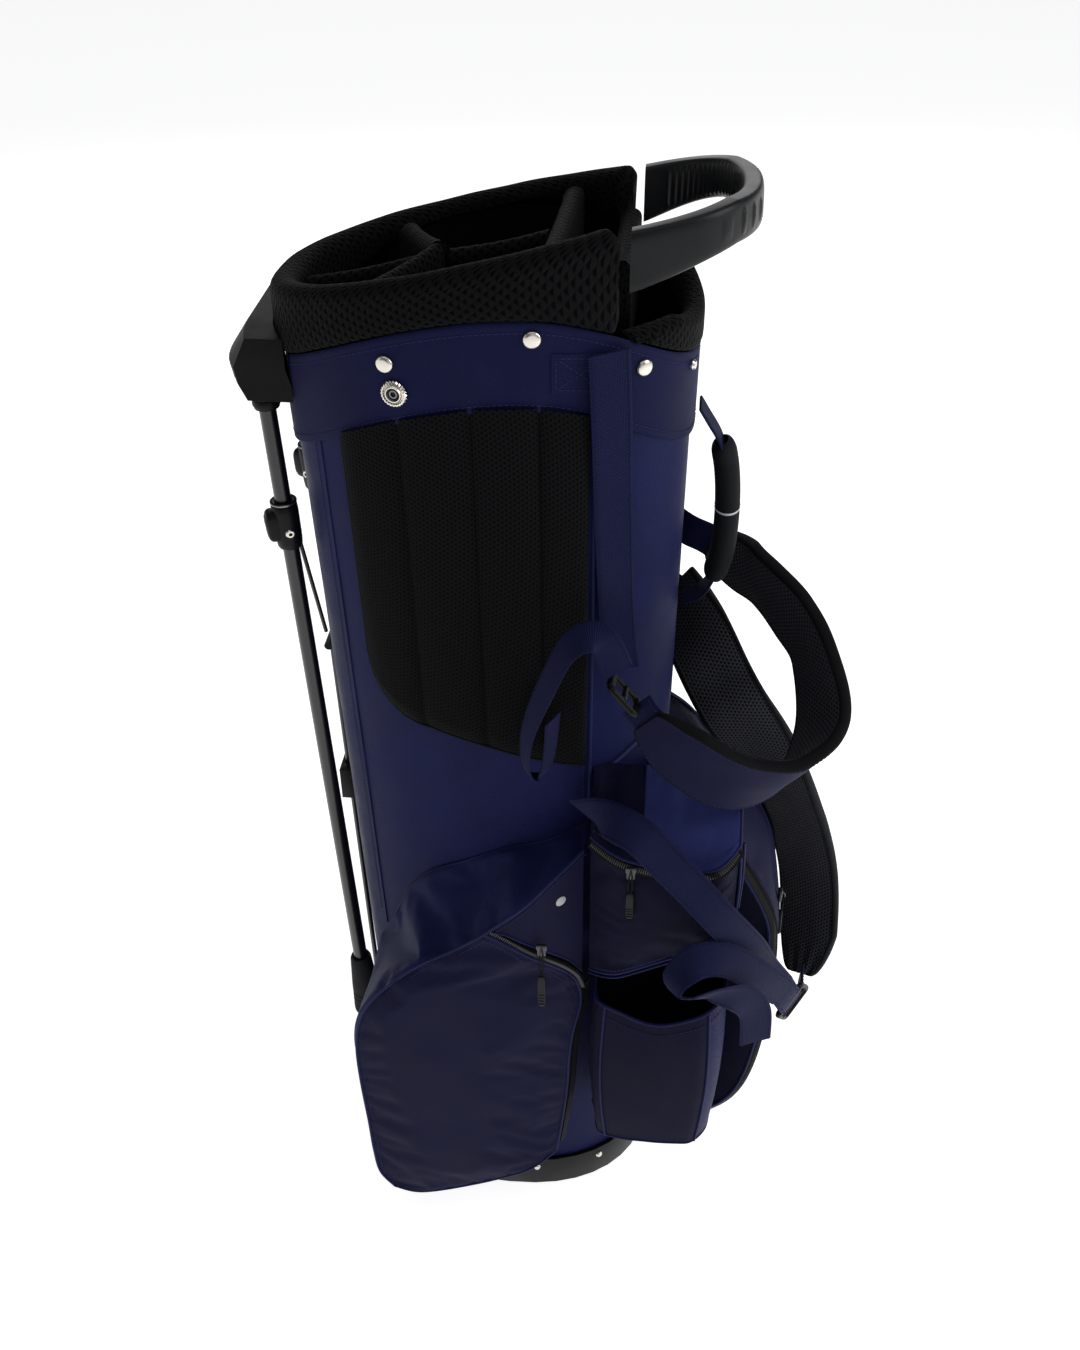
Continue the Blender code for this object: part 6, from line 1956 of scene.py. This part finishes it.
def leg(side, label):
    body = f"leg_{label}"
    hinge, foot = leg_point(side, 0.0), leg_point(side, 1.0)
    axis, out = side_axes(side)
    down = unit(foot - hinge)
    top, end = hinge + down * 0.0130, foot - down * 0.0115
    path = np.array([top + (end - top) * t for t in np.linspace(0, 1, 60)])
    pole = tube(f"{body}_pole", path, LEG_RADIUS, tube_paint, 32)
    place_on(pole, body, "leg_tube", f"leg_tube_{label}")
    softened(f"{body}_knuckle", f"leg_head_{label}", body, "moulded_black", black_plastic, 0.0012)
    collar_ring = lathe(
        f"{body}_socket",
        [(0.0062, 0.0), (0.0090, 0.0004), (0.0096, 0.0020), (0.0092, 0.0050), (0.0088, 0.0058)],
        hinge + down * 0.0250, -down, black_plastic,
    )
    bolts = [
        screw(f"{body}_bolt_{k}", hinge + axis * (k * 0.0088), axis * k, 0.0042, black_plastic)
        for k in (-1, 1)
    ]
    place_on(join([collar_ring, *bolts], f"{body}_head_parts"), body, "moulded_black")

    clamp_at = leg_point(side, CLAMP_SHARE)
    profile = [(0.0062, 0.0180), (0.0078, 0.0184), (0.0088, 0.0176), (0.0090, 0.0165), (0.0084, 0.0158),
               (0.0092, 0.0146), (0.0095, 0.0100), (0.0092, -0.0120), (0.0088, -0.0165), (0.0080, -0.0180),
               (0.0062, -0.0182)]
    barrel = lathe(f"{body}_clamp_barrel", profile, clamp_at, -down, black_plastic)
    ring = lathe(f"{body}_clamp_ring", [(0.0090, 0.0), (0.0094, 0.0004), (0.0094, 0.0012), (0.0090, 0.0016)],
                 clamp_at - down * 0.0166, -down, steel_dark)
    ear = pebble(f"{body}_clamp_ear", clamp_at + out * 0.0085, (out, axis, -down), (0.0064, 0.0070, 0.0118),
                 black_plastic, 0.55)
    lip = pebble(f"{body}_clamp_lip", clamp_at + out * 0.0118 - down * 0.0030, (out, axis, -down),
                 (0.0034, 0.0058, 0.0060), black_plastic, 0.6)
    faces = [
        screw(
            f"{body}_clamp_screw_{k}", clamp_at + axis * (k * 0.0090) + down * 0.004, axis * k, 0.0032,
            nickel,
        )
        for k in (-1, 1)
    ]
    low_screw = screw(
        f"{body}_clamp_low", clamp_at + out * 0.0120 + down * 0.0075 - axis * 0.004 * side, out - down,
        0.0026, nickel,
    )
    place_on(join([barrel, ring, ear, lip, *faces, low_screw], f"{body}_clamp"), body, "moulded_black",
             f"leg_clamp_{label}")

    shoe_profile = [(0.0, 0.0004), (0.0080, 0.0), (0.0110, 0.0016), (0.0124, 0.0050)]
    for k in range(4):
        low = 0.0085 + 0.0060 * k
        shoe_profile += [(0.0124 - 0.0003 * k, low), (0.0115 - 0.0003 * k, low + 0.0012),
                         (0.0124 - 0.0003 * k, low + 0.0024)]
    shoe_profile += [(0.0112, 0.0360), (0.0098, 0.0560), (0.0090, 0.0670), (0.0080, 0.0694), (0.0062, 0.0694)]
    shoe = lathe(f"{body}_shoe", shoe_profile, foot, -down, rubber)
    place_on(shoe, body, "shoe_rubber", f"leg_foot_{label}")

    clamp_end = clamp_at + LINK_PIVOT * np.array((1, side, 1))
    crosshead = ROD_HIGH + np.array((0.0, side * 0.0080, 0.0006))
    stop = clamp_end + (crosshead - clamp_end) * LINK_SHARE
    hook = [
        clamp_end + np.array((-0.0030, -side * 0.0040, 0.0030)),
        clamp_end + np.array((-0.0006, -side * 0.0016, 0.0016)),
    ]
    line = spline([*hook, *[clamp_end + (stop - clamp_end) * t for t in np.linspace(0.02, 1, 10)]], 0.002)
    wire = tube(f"link_{label}_wire", line, LINK_RADIUS, wire_paint, 12)
    place_on(wire, f"link_{label}", "actuator_wire", f"link_{label}")


def housing():
    """Hood over the two leg hinges, with a rolled lip and cheek bolts."""
    softened("hinge_hood", "leg_housing", "bag", "moulded_grey", housing_black, 0.0045, 4)
    made = []
    for side in (-1, 1):
        axis, _ = side_axes(side)
        hinge = leg_point(side, 0.0)
        made.append(
            screw(f"hood_bolt_{side}", hinge + axis * (side * 0.0128), axis * side, 0.0040, black_plastic)
        )
    place_on(join(made, "hood_bolts"), "bag", "moulded_black")


def push_rod():
    path = np.array([ROD_LOW + (ROD_HIGH - ROD_LOW) * t for t in np.linspace(0, 1, 50)])
    along = unit(ROD_HIGH - ROD_LOW)
    cross = ROD_HIGH - along * 0.003
    bar = np.array([cross + np.array((0, y, 0)) for y in np.linspace(-0.011, 0.011, 8)])
    made = [
        tube("rod_stem", path, ROD_RADIUS, wire_paint, 16),
        tube("rod_cross", bar, 0.0034, black_plastic, 16),
    ]
    made.append(pebble("rod_tip", ROD_LOW, np.eye(3), (0.0049, 0.0049, 0.0049), black_plastic, 1.0))
    place_on(join(made, "rod_wire"), "push_rod", "actuator_wire", "push_rod")
    softened("rod_keeper", "rod_guide", "bag", "moulded_black", black_plastic, 0.0020)


def base():
    """Moulded base cup with riveted rim, and the foot plate that works the legs."""
    softened("base_shell", "base_cup", "bag", "moulded_black", black_plastic, 0.0014)
    softened("foot_plate_shell", "foot_plate", "foot_plate", "moulded_black", black_plastic, 0.0006, 1)
    made = []
    for x in (-0.020, 0.035, 0.090):
        for side in (-1, 1):
            place, out = seat(x, base_line(x) + 0.024, 0.0036, side)
            profile = [(0.0, 0.0016), (0.0022, 0.0013), (0.0032, 0.0002), (0.0033, -0.0006)]
            made.append(lathe(f"base_rivet_{x}_{side}".replace(".", "_"), profile, place, out, nickel, 18))
    place_on(join(made, "base_rivets"), "bag", "nickel")


COLLAR_FACE = 0.0035


def collar_fasteners():
    """Cap rivets, a knurled towel eyelet and the slotted stud by the legs."""
    for label, x, drop in (("rear", -0.050, 0.0165), ("middle", 0.039, 0.010), ("front", 0.104, 0.0125)):
        place, out = seat(x, band_top(x) - drop, COLLAR_FACE)
        profile = [
            (0.0, 0.0021), (0.0030, 0.0020), (0.0046, 0.0016), (0.0054, 0.0008), (0.0056, 0.0),
            (0.0050, -0.0006),
        ]
        cap = lathe(f"cap_{label}", profile, place, out, nickel, 32)
        place_on(cap, "bag", "nickel", f"rivet_{label}")
    place, out = seat(-0.045, 0.795, COLLAR_FACE)
    angles = np.linspace(0, 2 * math.pi, 97)
    turn = Vector(out).to_track_quat("Z", "Y").to_matrix()
    rows = []
    for scale, height in ((1.06, -0.0004), (1.08, 0.0008), (1.00, 0.0018), (0.86, 0.0022), (0.84, 0.0014)):
        row = []
        for a in angles:
            radius = 0.0078 + 0.0003 * math.cos(a * 24)
            local = Vector((radius * scale * math.cos(a), radius * scale * math.sin(a), height))
            row.append(np.array(Vector(place) + turn @ local))
        rows.append(row)
    ring = piece_of("eyelet_knurl", [(np.array(rows), nickel)], smooth_angle=25)
    inner = lathe("eyelet_ring", [(0.0066, 0.0012), (0.0056, 0.0016), (0.0050, 0.0026), (0.0044, 0.0026),
                                  (0.0038, 0.0010)], place, out, nickel)
    seat_disc = lathe(
        "eyelet_seat", [(0.0072, 0.0012), (0.0050, 0.0010), (0.0, 0.0010)], place, out, black_plastic,
    )
    socket = lathe(
        "eyelet_socket", [(0.0028, 0.0011), (0.0026, 0.0018), (0.0018, 0.0018), (0.0016, 0.0012)], place,
        out, steel_dark,
    )
    place_on(join([ring, inner, seat_disc, socket], "eyelet"), "bag", "nickel", "towel_eyelet")
    place, out = seat(-0.123, 0.795, COLLAR_FACE)
    axes = (unit(np.cross(out, (0, 0, 1))), np.array((0.0, 0.0, 1.0)), out)
    stud = [
        pebble("stud_plate", place, axes, (0.0018, 0.0056, 0.0006), black_plastic, 0.8),
        pebble(
            "stud_edge", place + np.array((0, 0, 0.0022)) + out * 0.0006, axes, (0.0006, 0.0026, 0.0005),
            nickel, 0.8,
        ),
    ]
    end = seat(0.1325, 0.789, COLLAR_FACE)
    stud.append(
        lathe(
            "spine_stud", [(0.0, 0.0026), (0.0024, 0.0022), (0.0034, 0.0008), (0.0034, -0.0004)], *end,
            nickel, 20,
        )
    )
    place_on(join(stud, "collar_studs"), "bag", "nickel")


for side, label in ((-1, "right"), (1, "left")):
    leg(side, label)
housing()
push_rod()
base()
collar_fasteners()
paint(
    steel, "leg_pin_right", "leg_pin_left", "foot_plate_pin", "stay_rod_spine", "stay_rod_left",
    "stay_rod_right",
)
